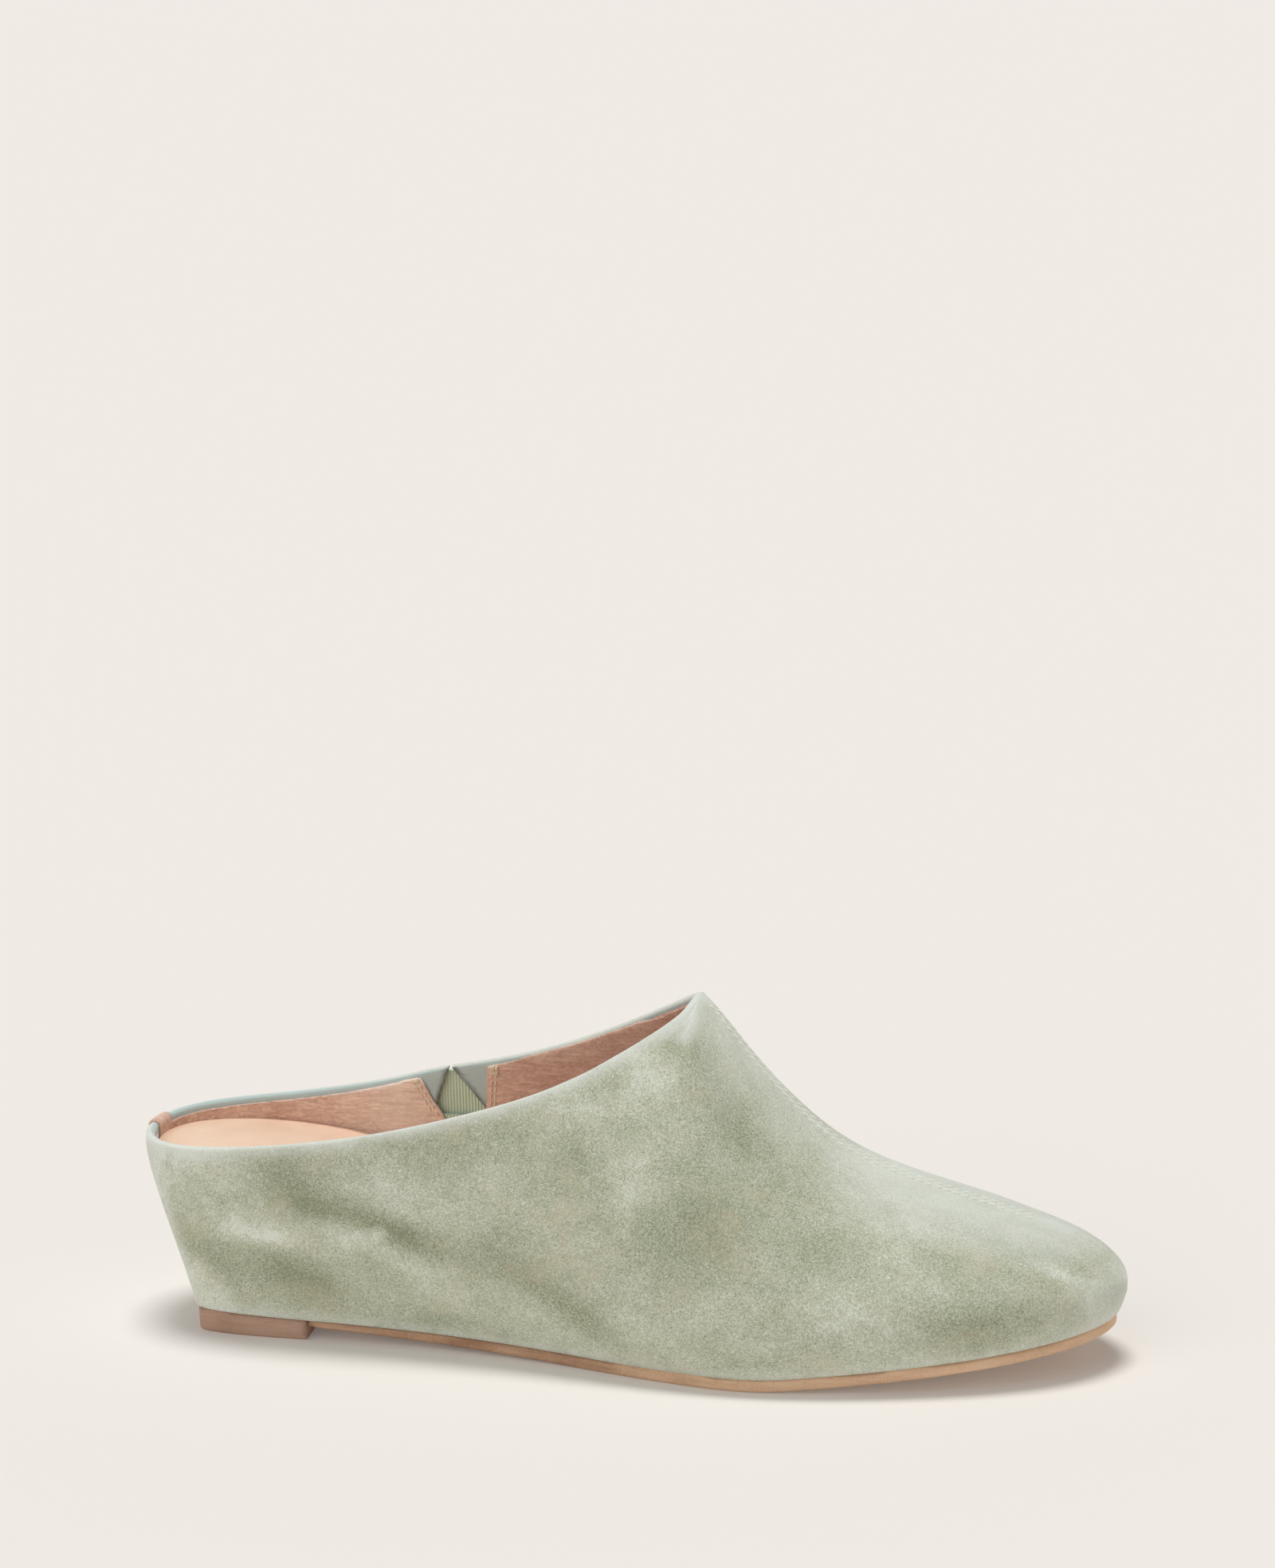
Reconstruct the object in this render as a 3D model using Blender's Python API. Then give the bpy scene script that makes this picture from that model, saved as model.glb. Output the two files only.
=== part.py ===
"""Wedge mule for the right foot, as separate solids.

Metres, +Z up, toe toward +X, outer side of the foot toward -Y. The origin is the middle of the flat
underside of the heel lift. While the shapes are worked out, X starts at the back of the collar.
"""
import math
from collections import namedtuple
from functools import lru_cache

import bmesh
import bpy
from mathutils import Vector
from mathutils.bvhtree import BVHTree

# Form of the foot
LENGTH = 0.2485
BALL_WIDTH = 0.088
SEAT_HEIGHT = 0.0454
BACK_RISE = 0.0033
THROAT_AT = 0.1415
THROAT_HEIGHT = 0.0879
SIDE_LEAN = 0.0015

# Bottom
LIFT_HEIGHT = 0.0061
LIFT_LENGTH = 0.0310
LIFT_EDGE = 0.0008
SOLE_THICKNESS = 0.0030
WAIST_THICKNESS = 0.0016
SOLE_INSET = 0.0006
SOLE_EDGE = 0.0005
TOE_SPRING = 0.0091
BALL_FROM = 0.5

# Inside
UPPER_WALL = 0.0024
LIP_RISE = 0.0009
INSOLE_THICKNESS = 0.0030
INSOLE_CROWN = 0.0010
WEDGE_TIP = 0.0010

# Elastic gore in the inner side
GORE_AT = 0.0733
GORE_DROP = 0.0138
GORE_BACK = 0.0048
GORE_FRONT = 0.0108
GORE_THICKNESS = 0.0010
GORE_RECESS = 0.0001
GORE_LAP = 0.0022
GORE_TOP = 0.0018
SLIT = 0.0009

# Clearance where two pieces meet
GAP = 0.0003

# Each rib runs from the sole's edge over the widest line to the crown.
# wide_at, sole_at and crown_at are shares of LENGTH, widths of BALL_WIDTH, wide_up of SEAT_HEIGHT.
# full bends the rib's top, knee its foot, and steps counts the ribs drawn on the way to the next row.
Rib = namedtuple("Rib", "wide_at wide_out wide_in wide_up sole_at sole_out sole_in crown_at full knee steps")
RIBS = (
    Rib(0.001, 0.000, 0.000, 1.020, 0.0585, 0.000, 0.000, 0.280, 1.00, 0.80, 2),
    Rib(0.006, 0.098, 0.098, 1.020, 0.0604, 0.102, 0.102, 0.285, 1.00, 0.80, 2),
    Rib(0.021, 0.182, 0.182, 1.010, 0.0640, 0.173, 0.172, 0.300, 1.00, 0.80, 2),
    Rib(0.048, 0.246, 0.246, 0.990, 0.0708, 0.2136, 0.211, 0.325, 1.00, 0.80, 2),
    Rib(0.092, 0.292, 0.290, 0.960, 0.1066, 0.241, 0.236, 0.355, 1.05, 0.79, 3),
    Rib(0.155, 0.321, 0.314, 0.900, 0.1690, 0.252, 0.242, 0.390, 1.15, 0.77, 3),
    Rib(0.240, 0.341, 0.324, 0.800, 0.2580, 0.258, 0.243, 0.430, 1.30, 0.74, 3),
    Rib(0.335, 0.370, 0.336, 0.660, 0.3450, 0.284, 0.256, 0.470, 1.45, 0.70, 3),
    Rib(0.440, 0.424, 0.366, 0.500, 0.4420, 0.344, 0.298, 0.515, 1.55, 0.66, 5),
    Rib(0.550, 0.488, 0.416, 0.370, 0.5500, 0.436, 0.368, 0.569, 1.60, 0.62, 4),
    Rib(0.635, 0.514, 0.460, 0.300, 0.6350, 0.484, 0.434, 0.645, 1.45, 0.60, 3),
    Rib(0.716, 0.496, 0.474, 0.285, 0.7160, 0.462, 0.452, 0.728, 1.20, 0.60, 3),
    Rib(0.796, 0.446, 0.446, 0.300, 0.7950, 0.426, 0.424, 0.805, 1.05, 0.60, 3),
    Rib(0.872, 0.374, 0.376, 0.335, 0.8700, 0.358, 0.354, 0.868, 0.98, 0.58, 3),
    Rib(0.938, 0.272, 0.272, 0.386, 0.9330, 0.258, 0.252, 0.914, 0.95, 0.55, 3),
    Rib(0.982, 0.142, 0.142, 0.417, 0.9760, 0.134, 0.130, 0.938, 0.95, 0.50, 2),
    Rib(1.000, 0.000, 0.000, 0.428, 0.9920, 0.000, 0.000, 0.945, 0.95, 0.50, 0),
)
THROAT_RIB = 9
TOE_RIB = len(RIBS) - 1
ROWS = 18
FINE = 24
BEND_WEIGHT = 0.011
THROAT_CLOSER = 1.45
NUDGE = 0.01

# Height of the crown line: share of LENGTH, share of THROAT_HEIGHT
CROWN = (
    (0.00, 1.30), (0.28, 1.28), (0.40, 1.22), (0.48, 1.13), (0.53, 1.046), (0.569, 1.000), (0.59, 0.936),
    (0.62, 0.828), (0.66, 0.702), (0.70, 0.603), (0.74, 0.538), (0.80, 0.478), (0.86, 0.431), (0.90, 0.395),
    (0.945, 0.357), (1.00, 0.298),
)
# Collar from the back to the throat: share of THROAT_AT, share of its rise on the outer and inner side
COLLAR = (
    (0.00, 0.000, 0.000), (0.10, 0.015, 0.022), (0.25, 0.070, 0.078), (0.40, 0.150, 0.180), (0.50, 0.225, 0.285),
    (0.60, 0.320, 0.360), (0.70, 0.430, 0.462), (0.78, 0.540, 0.570), (0.86, 0.690, 0.705), (0.93, 0.838, 0.845),
    (1.00, 1.000, 1.000),
)
# Rise of the forefoot: share of LENGTH, share of TOE_SPRING
SPRING = (
    (0.50, 0.00), (0.64, 0.00), (0.70, 0.10), (0.76, 0.27), (0.82, 0.44), (0.88, 0.61), (0.94, 0.79), (1.00, 1.00),
)
# Slope of the footbed: share of LENGTH, share of the wedge's height at the heel
BED = (
    (0.00, 1.00), (0.10, 1.00), (0.16, 0.977), (0.22, 0.917), (0.32, 0.706), (0.44, 0.376), (0.54, 0.131),
    (0.60, 0.040), (0.64, 0.000), (1.00, 0.000),
)

OUTER, INNER = -1, 1
SIDES = (OUTER, INNER)


def smooth(rows, x, column=1):
    """Value of a table's column at x, on a smooth curve through its rows."""
    if x <= rows[0][0]:
        return rows[0][column]
    if x >= rows[-1][0]:
        return rows[-1][column]
    k = max(i for i in range(len(rows) - 1) if rows[i][0] <= x)

    def slope(i):
        low, high = rows[max(i - 1, 0)], rows[min(i + 1, len(rows) - 1)]
        return (high[column] - low[column]) / (high[0] - low[0])

    width = rows[k + 1][0] - rows[k][0]
    t = (x - rows[k][0]) / width
    a, b = slope(k) * width, slope(k + 1) * width
    rise = rows[k + 1][column] - rows[k][column]
    return rows[k][column] + t * (a + t * (3 * rise - 2 * a - b + t * (a + b - 2 * rise)))


def rib_value(name, s):
    """Value of a column of RIBS at rib number s, mirrored past the heel and the toe."""
    sign = -1 if name.endswith(("_out", "_in")) else 1

    def row(i):
        if i < 0:
            return sign * getattr(RIBS[-i], name)
        if i > TOE_RIB:
            return sign * getattr(RIBS[2 * TOE_RIB - i], name)
        return getattr(RIBS[i], name)

    k = min(int(s), TOE_RIB - 1)
    t = s - k
    a, b, c, d = (row(k + i) for i in (-1, 0, 1, 2))
    return b + 0.5 * t * (c - a + t * (2 * a - 5 * b + 4 * c - d + t * (3 * b - a - 3 * c + d)))


SOLE_BACK = LENGTH * RIBS[0].sole_at
LIFT_FRONT = SOLE_BACK + LIFT_LENGTH
HEEL_REST_AT = (SOLE_BACK + LIFT_FRONT) / 2
BALL_SEAT = SOLE_THICKNESS + GAP


def behind_ball(x):
    """0 at the front of the waist and beyond, 1 at the back of the sole."""
    return max(0.0, (BALL_FROM * LENGTH - x) / (BALL_FROM * LENGTH - SOLE_BACK))


def spring(x):
    return TOE_SPRING * max(0.0, smooth(SPRING, x / LENGTH))


def seat(x):
    """Height of the upper's lower edge."""
    return BALL_SEAT + spring(x) + (LIFT_HEIGHT + GAP - BALL_SEAT) * behind_ball(x) ** 1.2


def sole_bottom(x):
    """Height of the outsole's underside, which thins from the ball back to the lift."""
    back = min(1.0, behind_ball(x) / behind_ball(LIFT_FRONT))
    thickness = SOLE_THICKNESS + (WAIST_THICKNESS - SOLE_THICKNESS) * back ** 2
    return seat(x) - GAP - thickness if back > 0 else spring(x)


def crown_height(x):
    return THROAT_HEIGHT * smooth(CROWN, x / LENGTH)


def collar_height(x, side):
    low = SEAT_HEIGHT + BACK_RISE
    share = smooth(COLLAR, x / THROAT_AT, 1 if side == OUTER else 2)
    return low + (THROAT_HEIGHT - low) * share


def bed_under(x):
    """Height of the insole's underside."""
    heel = SEAT_HEIGHT - INSOLE_CROWN - INSOLE_THICKNESS - LIFT_HEIGHT - GAP
    return seat(x) + heel * max(0.0, smooth(BED, x / LENGTH))


def sole_edge(s, side):
    """Point of the upper's lower edge at rib s."""
    x = LENGTH * rib_value("sole_at", s)
    width = rib_value("sole_out" if side == OUTER else "sole_in", s)
    return Vector((x, side * BALL_WIDTH * width, seat(x)))


@lru_cache(maxsize=None)
def rib_shape(side, s):
    """Foot, bend, widest point and crown of rib s, and how full it is."""
    foot = sole_edge(s, side)
    width = rib_value("wide_out" if side == OUTER else "wide_in", s)
    wide = Vector((LENGTH * rib_value("wide_at", s), side * BALL_WIDTH * width, SEAT_HEIGHT * rib_value("wide_up", s)))
    bend = Vector((wide.x, wide.y, foot.z + (wide.z - foot.z) * rib_value("knee", s)))
    x = LENGTH * rib_value("crown_at", s)
    crown = Vector((x, SIDE_LEAN * math.sin(math.pi * x / LENGTH), crown_height(x)))
    return foot, bend, wide, crown, rib_value("full", s)


def surface(side, s, up):
    """Point of the outside: up is 0 at the sole's edge, 1 at the widest line and 2 at the crown."""
    foot, bend, wide, crown, full = rib_shape(side, s)
    if up < 1:
        return foot * (1 - up) ** 2 + bend * 2 * up * (1 - up) + wide * up ** 2
    angle = math.pi / 2 * (up - 1)
    reach = math.cos(angle)
    x = crown.x + (wide.x - crown.x) * reach ** 2
    y = crown.y + (wide.y - crown.y) * reach
    return Vector((x, y, wide.z + (crown.z - wide.z) * math.sin(angle) ** full))


def rib_top(side, s):
    """How far up rib s goes: to the collar, or to the crown in front of the throat."""
    if s >= THROAT_RIB:
        return 2.0
    low, high = 1.0, 2.0
    for _ in range(40):
        middle = (low + high) / 2
        point = surface(side, s, middle)
        if point.z < collar_height(point.x, side) - LIP_RISE:
            low = middle
        else:
            high = middle
    return high


def rib_ups(side, s):
    """Places of the rib's ROWS cells, closer together where it bends."""
    top = rib_top(side, s)
    ups = [i / FINE for i in range(FINE)] + [1 + (top - 1) * i / FINE for i in range(FINE + 1)]
    line = [surface(side, s, up) for up in ups]
    weight = [0.0]
    for i in range(1, len(line)):
        step = line[i] - line[i - 1]
        turn = step.angle(line[i + 1] - line[i]) if i + 1 < len(line) else 0.0
        weight.append(weight[-1] + step.length + BEND_WEIGHT * turn)
    places, k = [0.0], 0
    for j in range(1, ROWS):
        want = weight[-1] * j / ROWS
        while weight[k + 1] < want:
            k += 1
        places.append(ups[k] + (ups[k + 1] - ups[k]) * (want - weight[k]) / (weight[k + 1] - weight[k]))
    return places + [top]


def rib_numbers():
    """Rib numbers of the drawn ribs, closer together on both sides of the throat."""
    numbers = []
    for k, rib in enumerate(RIBS):
        for i in range(rib.steps):
            t = i / rib.steps
            if k + 1 == THROAT_RIB:
                t = 1 - (1 - t) ** THROAT_CLOSER
            elif k == THROAT_RIB:
                t = t ** THROAT_CLOSER
            numbers.append(k + t)
    return numbers + [TOE_RIB]


NUMBERS = rib_numbers()
THROAT_COLUMN = NUMBERS.index(THROAT_RIB)
LAST_COLUMN = len(NUMBERS) - 1
PLACES = {side: [rib_ups(side, s) for s in NUMBERS] for side in SIDES}
SKIN = {side: [[surface(side, s, up) for up in ups] for s, ups in zip(NUMBERS, PLACES[side])] for side in SIDES}


def surface_normals():
    """Outward normals of the skin's points, shared where its two sides meet."""
    normals = {}
    for side in SIDES:
        normals[side] = []
        for s, ups in zip(NUMBERS, PLACES[side]):
            column = []
            for up in ups:
                along = surface(side, s + NUDGE, up) - surface(side, s - NUDGE, up)
                upward = surface(side, s, min(up + NUDGE, 2)) - surface(side, s, max(up - NUDGE, 0))
                column.append((along.cross(upward) * -side).normalized())
            normals[side].append(column)
    for c in range(LAST_COLUMN + 1):
        for r in range(ROWS + 1):
            if c in (0, LAST_COLUMN) or (r == ROWS and c >= THROAT_COLUMN):
                shared = (normals[OUTER][c][r] + normals[INNER][c][r]).normalized()
                normals[OUTER][c][r] = normals[INNER][c][r] = shared
    return normals


NORMALS = surface_normals()


def inset(side, column, depth):
    """Rib of the skin moved inward by depth."""
    return [p - n * depth for p, n in zip(SKIN[side][column], NORMALS[side][column])]


def at_height(line, height):
    """Point where a rib comes to the height that height(x) gives."""
    point = line[0]
    for _ in range(3):
        z = height(point.x)
        for low, high in zip(line, line[1:]):
            if high.z >= z:
                break
        point = low.lerp(high, (z - low.z) / (high.z - low.z))
    return point


def add_object(name, bm, colour, roughness):
    """Object with its own material from a closed bmesh whose seams still lie double."""
    bmesh.ops.remove_doubles(bm, verts=bm.verts, dist=0.00001)
    bmesh.ops.translate(bm, verts=bm.verts, vec=(-HEEL_REST_AT, 0, 0))
    bmesh.ops.recalc_face_normals(bm, faces=bm.faces)
    mesh = bpy.data.meshes.new(name)
    bm.to_mesh(mesh)
    bm.free()
    mesh.shade_smooth()
    mesh.set_sharp_from_angle(angle=math.radians(42))
    material = bpy.data.materials.new(name)
    material.use_nodes = True
    shader = material.node_tree.nodes["Principled BSDF"]
    shader.inputs["Base Color"].default_value = (*colour, 1)
    shader.inputs["Roughness"].default_value = roughness
    mesh.materials.append(material)
    thing = bpy.data.objects.new(name, mesh)
    bpy.context.collection.objects.link(thing)
    return thing


def add_strip(bm, first, second, closed=False):
    """Row of faces between two lines of points."""
    ends = [[bm.verts.new(p) for p in line] for line in (first, second)]
    count = len(first) if closed else len(first) - 1
    for i in range(count):
        j = (i + 1) % len(first)
        corners = (ends[0][i], ends[0][j], ends[1][j], ends[1][i])
        if len({tuple(round(v, 6) for v in corner.co) for corner in corners}) > 2:
            bm.faces.new(corners)


def add_loft(bm, loops):
    """Skin over closed loops of points, with flat ends."""
    for first, second in zip(loops, loops[1:]):
        add_strip(bm, first, second, closed=True)
    for loop in (loops[0], loops[-1]):
        if (loop[0] - loop[len(loop) // 2]).length > 0.0001 and max(abs(p.y - loop[0].y) for p in loop) > 0.0001:
            bm.faces.new([bm.verts.new(p) for p in loop])


def lip(bm):
    """Rounded edge of the collar, from the outer to the inner surface."""
    columns = [(OUTER, c) for c in range(THROAT_COLUMN + 1)]
    columns += [(INNER, c) for c in range(THROAT_COLUMN - 1, 0, -1)]
    outer = [SKIN[side][c][ROWS] for side, c in columns]
    inner = [inset(side, c, UPPER_WALL)[ROWS] for side, c in columns]
    rises = []
    for i, (side, c) in enumerate(columns):
        along = outer[(i + 1) % len(outer)] - outer[i - 1]
        rises.append(NORMALS[side][c][ROWS].cross(along).normalized() * LIP_RISE)
    lines = [outer]
    for share, rise in ((0.14, 0.62), (0.5, 1.0), (0.86, 0.62)):
        lines.append([a.lerp(b, share) + up * rise for a, b, up in zip(outer, inner, rises)])
    lines.append(inner)
    for first, second in zip(lines, lines[1:]):
        add_strip(bm, first, second, closed=True)


def make_upper():
    """Hollow upper, open at the collar and underneath."""
    bm = bmesh.new()
    for side in SIDES:
        inner = [inset(side, c, UPPER_WALL) for c in range(LAST_COLUMN + 1)]
        for line in inner:
            line[0] = at_height(line, seat)
        for c in range(LAST_COLUMN):
            add_strip(bm, SKIN[side][c], SKIN[side][c + 1])
            add_strip(bm, inner[c], inner[c + 1])
            add_strip(bm, (SKIN[side][c][0], SKIN[side][c + 1][0]), (inner[c][0], inner[c + 1][0]))
    lip(bm)
    bmesh.ops.remove_doubles(bm, verts=bm.verts, dist=0.00001)
    bmesh.ops.triangulate(bm, faces=bm.faces, quad_method="SHORT_EDGE")
    return add_object("upper", bm, (0.47, 0.50, 0.37), 0.9)


def bed_loop(column, low, high, crown=0.0, rows=3, across=6):
    """Section between the upper's walls at a rib, from height low(x) to height high(x)."""
    outer, inner = (inset(side, column, UPPER_WALL + GAP) for side in SIDES)
    ends = {}
    for key, line in (("outer", outer), ("inner", inner)):
        bottom, top = at_height(line, low), at_height(line, high)
        middle = [at_height(line, lambda x, t=i / rows: low(x) + (high(x) - low(x)) * t) for i in range(1, rows)]
        ends[key] = [bottom, *middle, top]
    loop = list(ends["outer"])
    swell = crown * min(1.0, 3 * (ends["inner"][-1] - ends["outer"][-1]).length / BALL_WIDTH)
    for i in range(1, across):
        t = i / across
        point = ends["outer"][-1].lerp(ends["inner"][-1], t)
        loop.append(point + Vector((0, 0, swell * (1 - (2 * t - 1) ** 4))))
    loop += ends["inner"][::-1]
    loop += [ends["inner"][0].lerp(ends["outer"][0], i / across) for i in range(1, across)]
    return loop


def make_wedge():
    """Core that lifts the heel, between the outsole and the insole."""
    loops = []
    for c in range(LAST_COLUMN + 1):
        x = SKIN[OUTER][c][0].x
        if bed_under(x) - GAP - seat(x) < WEDGE_TIP:
            break
        loops.append(bed_loop(c, seat, lambda x: bed_under(x) - GAP, rows=5))
    bm = bmesh.new()
    add_loft(bm, loops)
    return add_object("wedge", bm, (0.55, 0.42, 0.30), 0.8)


def make_insole():
    """Padded footbed over the wedge and the outsole."""

    def top(x):
        return bed_under(x) + INSOLE_THICKNESS

    bm = bmesh.new()
    add_loft(bm, [bed_loop(c, bed_under, top, INSOLE_CROWN) for c in range(LAST_COLUMN + 1)])
    return add_object("insole", bm, (0.80, 0.60, 0.42), 0.5)


def edge_inward(s, side):
    """Level direction from the upper's lower edge to the inside."""
    if s <= 0 or s >= TOE_RIB:
        return Vector((1 if s <= 0 else -1, 0, 0))
    along = sole_edge(s + 0.01, side) - sole_edge(s - 0.01, side)
    return Vector((along.y, -along.x, 0)).normalized() * side


def edge_at(s, side, inward, height):
    point = sole_edge(s, side) + edge_inward(s, side) * inward
    point.z = height(point.x)
    return point


def rib_number_at(x):
    """Rib number whose sole edge lies at x."""
    low, high = 0.0, float(TOE_RIB)
    for _ in range(40):
        middle = (low + high) / 2
        if LENGTH * rib_value("sole_at", middle) < x:
            low = middle
        else:
            high = middle
    return high


def sole_loop(s, rings, x=None, across=4):
    """Section of a sole piece: rings of (inward, height) down its edge, and flat spans between them."""
    sides = {}
    for side in SIDES:
        sides[side] = [edge_at(s, side, inward, height) for inward, height in rings]
        if x is not None:
            for point, (inward, height) in zip(sides[side], rings):
                point.x = x
                point.z = height(x)
    loop = list(sides[OUTER])
    loop += [sides[OUTER][-1].lerp(sides[INNER][-1], i / across) for i in range(1, across)]
    loop += sides[INNER][::-1]
    loop += [sides[INNER][0].lerp(sides[OUTER][0], i / across) for i in range(1, across)]
    return loop


def make_outsole():
    """Thin outsole from the front of the lift to the toe."""
    start = LIFT_FRONT + GAP
    rings = (
        (SOLE_INSET, lambda x: seat(x) - GAP),
        (SOLE_INSET, lambda x: sole_bottom(x) + SOLE_EDGE),
        (SOLE_INSET + SOLE_EDGE, sole_bottom),
    )
    first = rib_number_at(start)
    numbers = [s for s in NUMBERS if s > first + 0.15]
    loops = [sole_loop(first, rings, start)] + [sole_loop(s, rings) for s in numbers]
    bm = bmesh.new()
    add_loft(bm, loops)
    return add_object("outsole", bm, (0.56, 0.42, 0.30), 0.6)


def make_heel_lift():
    """Top piece under the heel, flat underneath, straight across its front."""
    rings = (
        (SOLE_INSET, lambda x: seat(x) - GAP),
        (SOLE_INSET + 0.25 * LIFT_EDGE, lambda x: LIFT_EDGE),
        (SOLE_INSET + 0.55 * LIFT_EDGE, lambda x: 0.4 * LIFT_EDGE),
        (SOLE_INSET + LIFT_EDGE, lambda x: 0.0),
    )
    last = rib_number_at(LIFT_FRONT)
    loops = [sole_loop(s, rings) for s in NUMBERS if s < last - 0.15]
    loops.append(sole_loop(last, rings, LIFT_FRONT))
    bm = bmesh.new()
    add_loft(bm, loops)
    return add_object("heel_lift", bm, (0.54, 0.40, 0.29), 0.6)


def inner_side():
    """Inner side of the skin, to lay the gore on."""
    grid = SKIN[INNER]
    points = [p for line in grid for p in line]
    width = ROWS + 1
    cells = [(c * width + r, (c + 1) * width + r, (c + 1) * width + r + 1, c * width + r + 1)
             for c in range(LAST_COLUMN) for r in range(ROWS)]
    return BVHTree.FromPolygons(points, cells)


def gore_patch(lap, top, outer_depth, inner_depth, rows=6, across=4):
    """Loops of a triangular patch of the inner side, lap wider than its window, between two depths."""
    skin = inner_side()
    rim = collar_height(GORE_AT, INNER)
    base = rim - GORE_DROP - lap
    loops = []
    for i in range(rows + 1):
        t = i / rows
        share = (top + (rim - base - top) * t) / GORE_DROP
        back, front = GORE_AT - SLIT / 2 - lap - GORE_BACK * share, GORE_AT + SLIT / 2 + lap + GORE_FRONT * share
        outside, inside = [], []
        for j in range(across + 1):
            x = back + (front - back) * j / across
            z = (collar_height(x, INNER) - top) * (1 - t) + base * t
            point, normal, _, _ = skin.ray_cast(Vector((x, BALL_WIDTH, z)), Vector((0, -1, 0)))
            normal = normal if normal.y > 0 else -normal
            outside.append(point - normal * outer_depth)
            inside.append(point - normal * inner_depth)
        loops.append(outside + inside[::-1])
    return loops


def make_gore():
    """Elastic panel let into the inner side from outside."""
    bm = bmesh.new()
    add_loft(bm, gore_patch(GORE_LAP, GORE_TOP, GORE_RECESS, GORE_RECESS + GORE_THICKNESS))
    return add_object("gore", bm, (0.36, 0.38, 0.28), 0.9)


def cut_gore(upper):
    """Pocket for the elastic panel and the window through the wall behind it."""
    pocket = bmesh.new()
    depth = GORE_RECESS + GORE_THICKNESS + GAP
    add_loft(pocket, gore_patch(GORE_LAP + GAP, GORE_TOP - GAP, -UPPER_WALL, depth))
    rim = collar_height(GORE_AT, INNER)
    outline = (
        (GORE_AT - SLIT / 2, rim + UPPER_WALL), (GORE_AT - SLIT / 2, rim - SLIT),
        (GORE_AT - GORE_BACK, rim - GORE_DROP), (GORE_AT + GORE_FRONT, rim - GORE_DROP),
        (GORE_AT + SLIT / 2, rim - SLIT), (GORE_AT + SLIT / 2, rim + UPPER_WALL),
    )
    window = bmesh.new()
    near, far = ([Vector((x, y, z)) for x, z in outline] for y in (BALL_WIDTH / 8, BALL_WIDTH / 2))
    add_loft(window, [near, far])
    bmesh.ops.triangulate(window, faces=window.faces)
    for name, bm in (("gore_pocket", pocket), ("gore_window", window)):
        cutter = add_object(name, bm, (0.5, 0.5, 0.5), 0.5)
        cutter.hide_render = True
        cutter.display_type = "WIRE"
        cut = upper.modifiers.new(name, "BOOLEAN")
        cut.operation = "DIFFERENCE"
        cut.object = cutter
    weld = upper.modifiers.new("tidy_cuts", "WELD")
    weld.merge_threshold = 0.00003


def main():
    for thing in list(bpy.data.objects):
        bpy.data.objects.remove(thing, do_unlink=True)
    upper = make_upper()
    cut_gore(upper)
    for make in (make_gore, make_wedge, make_insole, make_outsole, make_heel_lift):
        make()


main()
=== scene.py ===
"""Looks of the wedge mule: suede upper, leather lining and footbed, elastic gore, stitching, sole and studio."""

import logging
import math
from collections import Counter
from dataclasses import dataclass, field
from enum import Enum
from typing import Any, Callable, Optional, Sequence

import bpy
import numpy as np
from mathutils import Matrix, Vector, noise
from mathutils.bvhtree import BVHTree
from mathutils.kdtree import KDTree


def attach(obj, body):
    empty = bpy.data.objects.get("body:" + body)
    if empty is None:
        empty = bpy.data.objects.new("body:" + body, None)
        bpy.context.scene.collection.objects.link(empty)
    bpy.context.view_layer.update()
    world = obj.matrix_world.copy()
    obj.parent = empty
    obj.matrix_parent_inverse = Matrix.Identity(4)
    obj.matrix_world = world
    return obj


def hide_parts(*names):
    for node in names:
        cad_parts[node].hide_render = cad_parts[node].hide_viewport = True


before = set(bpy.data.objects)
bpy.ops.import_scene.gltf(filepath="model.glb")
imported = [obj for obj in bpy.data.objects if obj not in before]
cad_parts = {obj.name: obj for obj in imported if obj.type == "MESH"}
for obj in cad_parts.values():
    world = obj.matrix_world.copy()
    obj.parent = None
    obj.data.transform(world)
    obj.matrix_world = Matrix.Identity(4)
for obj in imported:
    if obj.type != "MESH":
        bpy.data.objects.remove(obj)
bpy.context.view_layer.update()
LOG = logging.getLogger("wedge_mule")

MM = 0.001
QUADS = {"face_threshold": math.radians(30), "shape_threshold": math.radians(75)}
Piece = bpy.types.Object
Point = tuple[float, float, float]
Colour = tuple[float, float, float]
Place = tuple[float, float]
FaceTest = Callable[[Vector, Vector], bool]


class Side(Enum):
    """Side of the foot, as the sign of Y."""

    OUTER = -1
    INNER = 1


def srgb(red: int, green: int, blue: int) -> Colour:
    """Linear colour of an 8-bit display colour.

    Args:
        red: Red from 0 to 255.
        green: Green from 0 to 255.
        blue: Blue from 0 to 255.

    Returns:
        The colour as linear numbers from 0 to 1.
    """
    def linear(level: int) -> float:
        """Linear share of one channel."""
        share = level / 255
        return share / 12.92 if share <= 0.04045 else ((share + 0.055) / 1.055) ** 2.4

    return linear(red), linear(green), linear(blue)


# ---- shader graph


def operator(name: str, reflected: bool = False) -> Callable[["Number", Any], "Number"]:
    """Method that adds a Math node for one of Python's operators.

    Args:
        name: The Math node's operation.
        reflected: Whether the other value stands on the left.

    Returns:
        The method.
    """
    def method(number: "Number", other: Any) -> "Number":
        """Result of the operation."""
        return number.math(name, other, number) if reflected else number.math(name, number, other)

    return method


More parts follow.
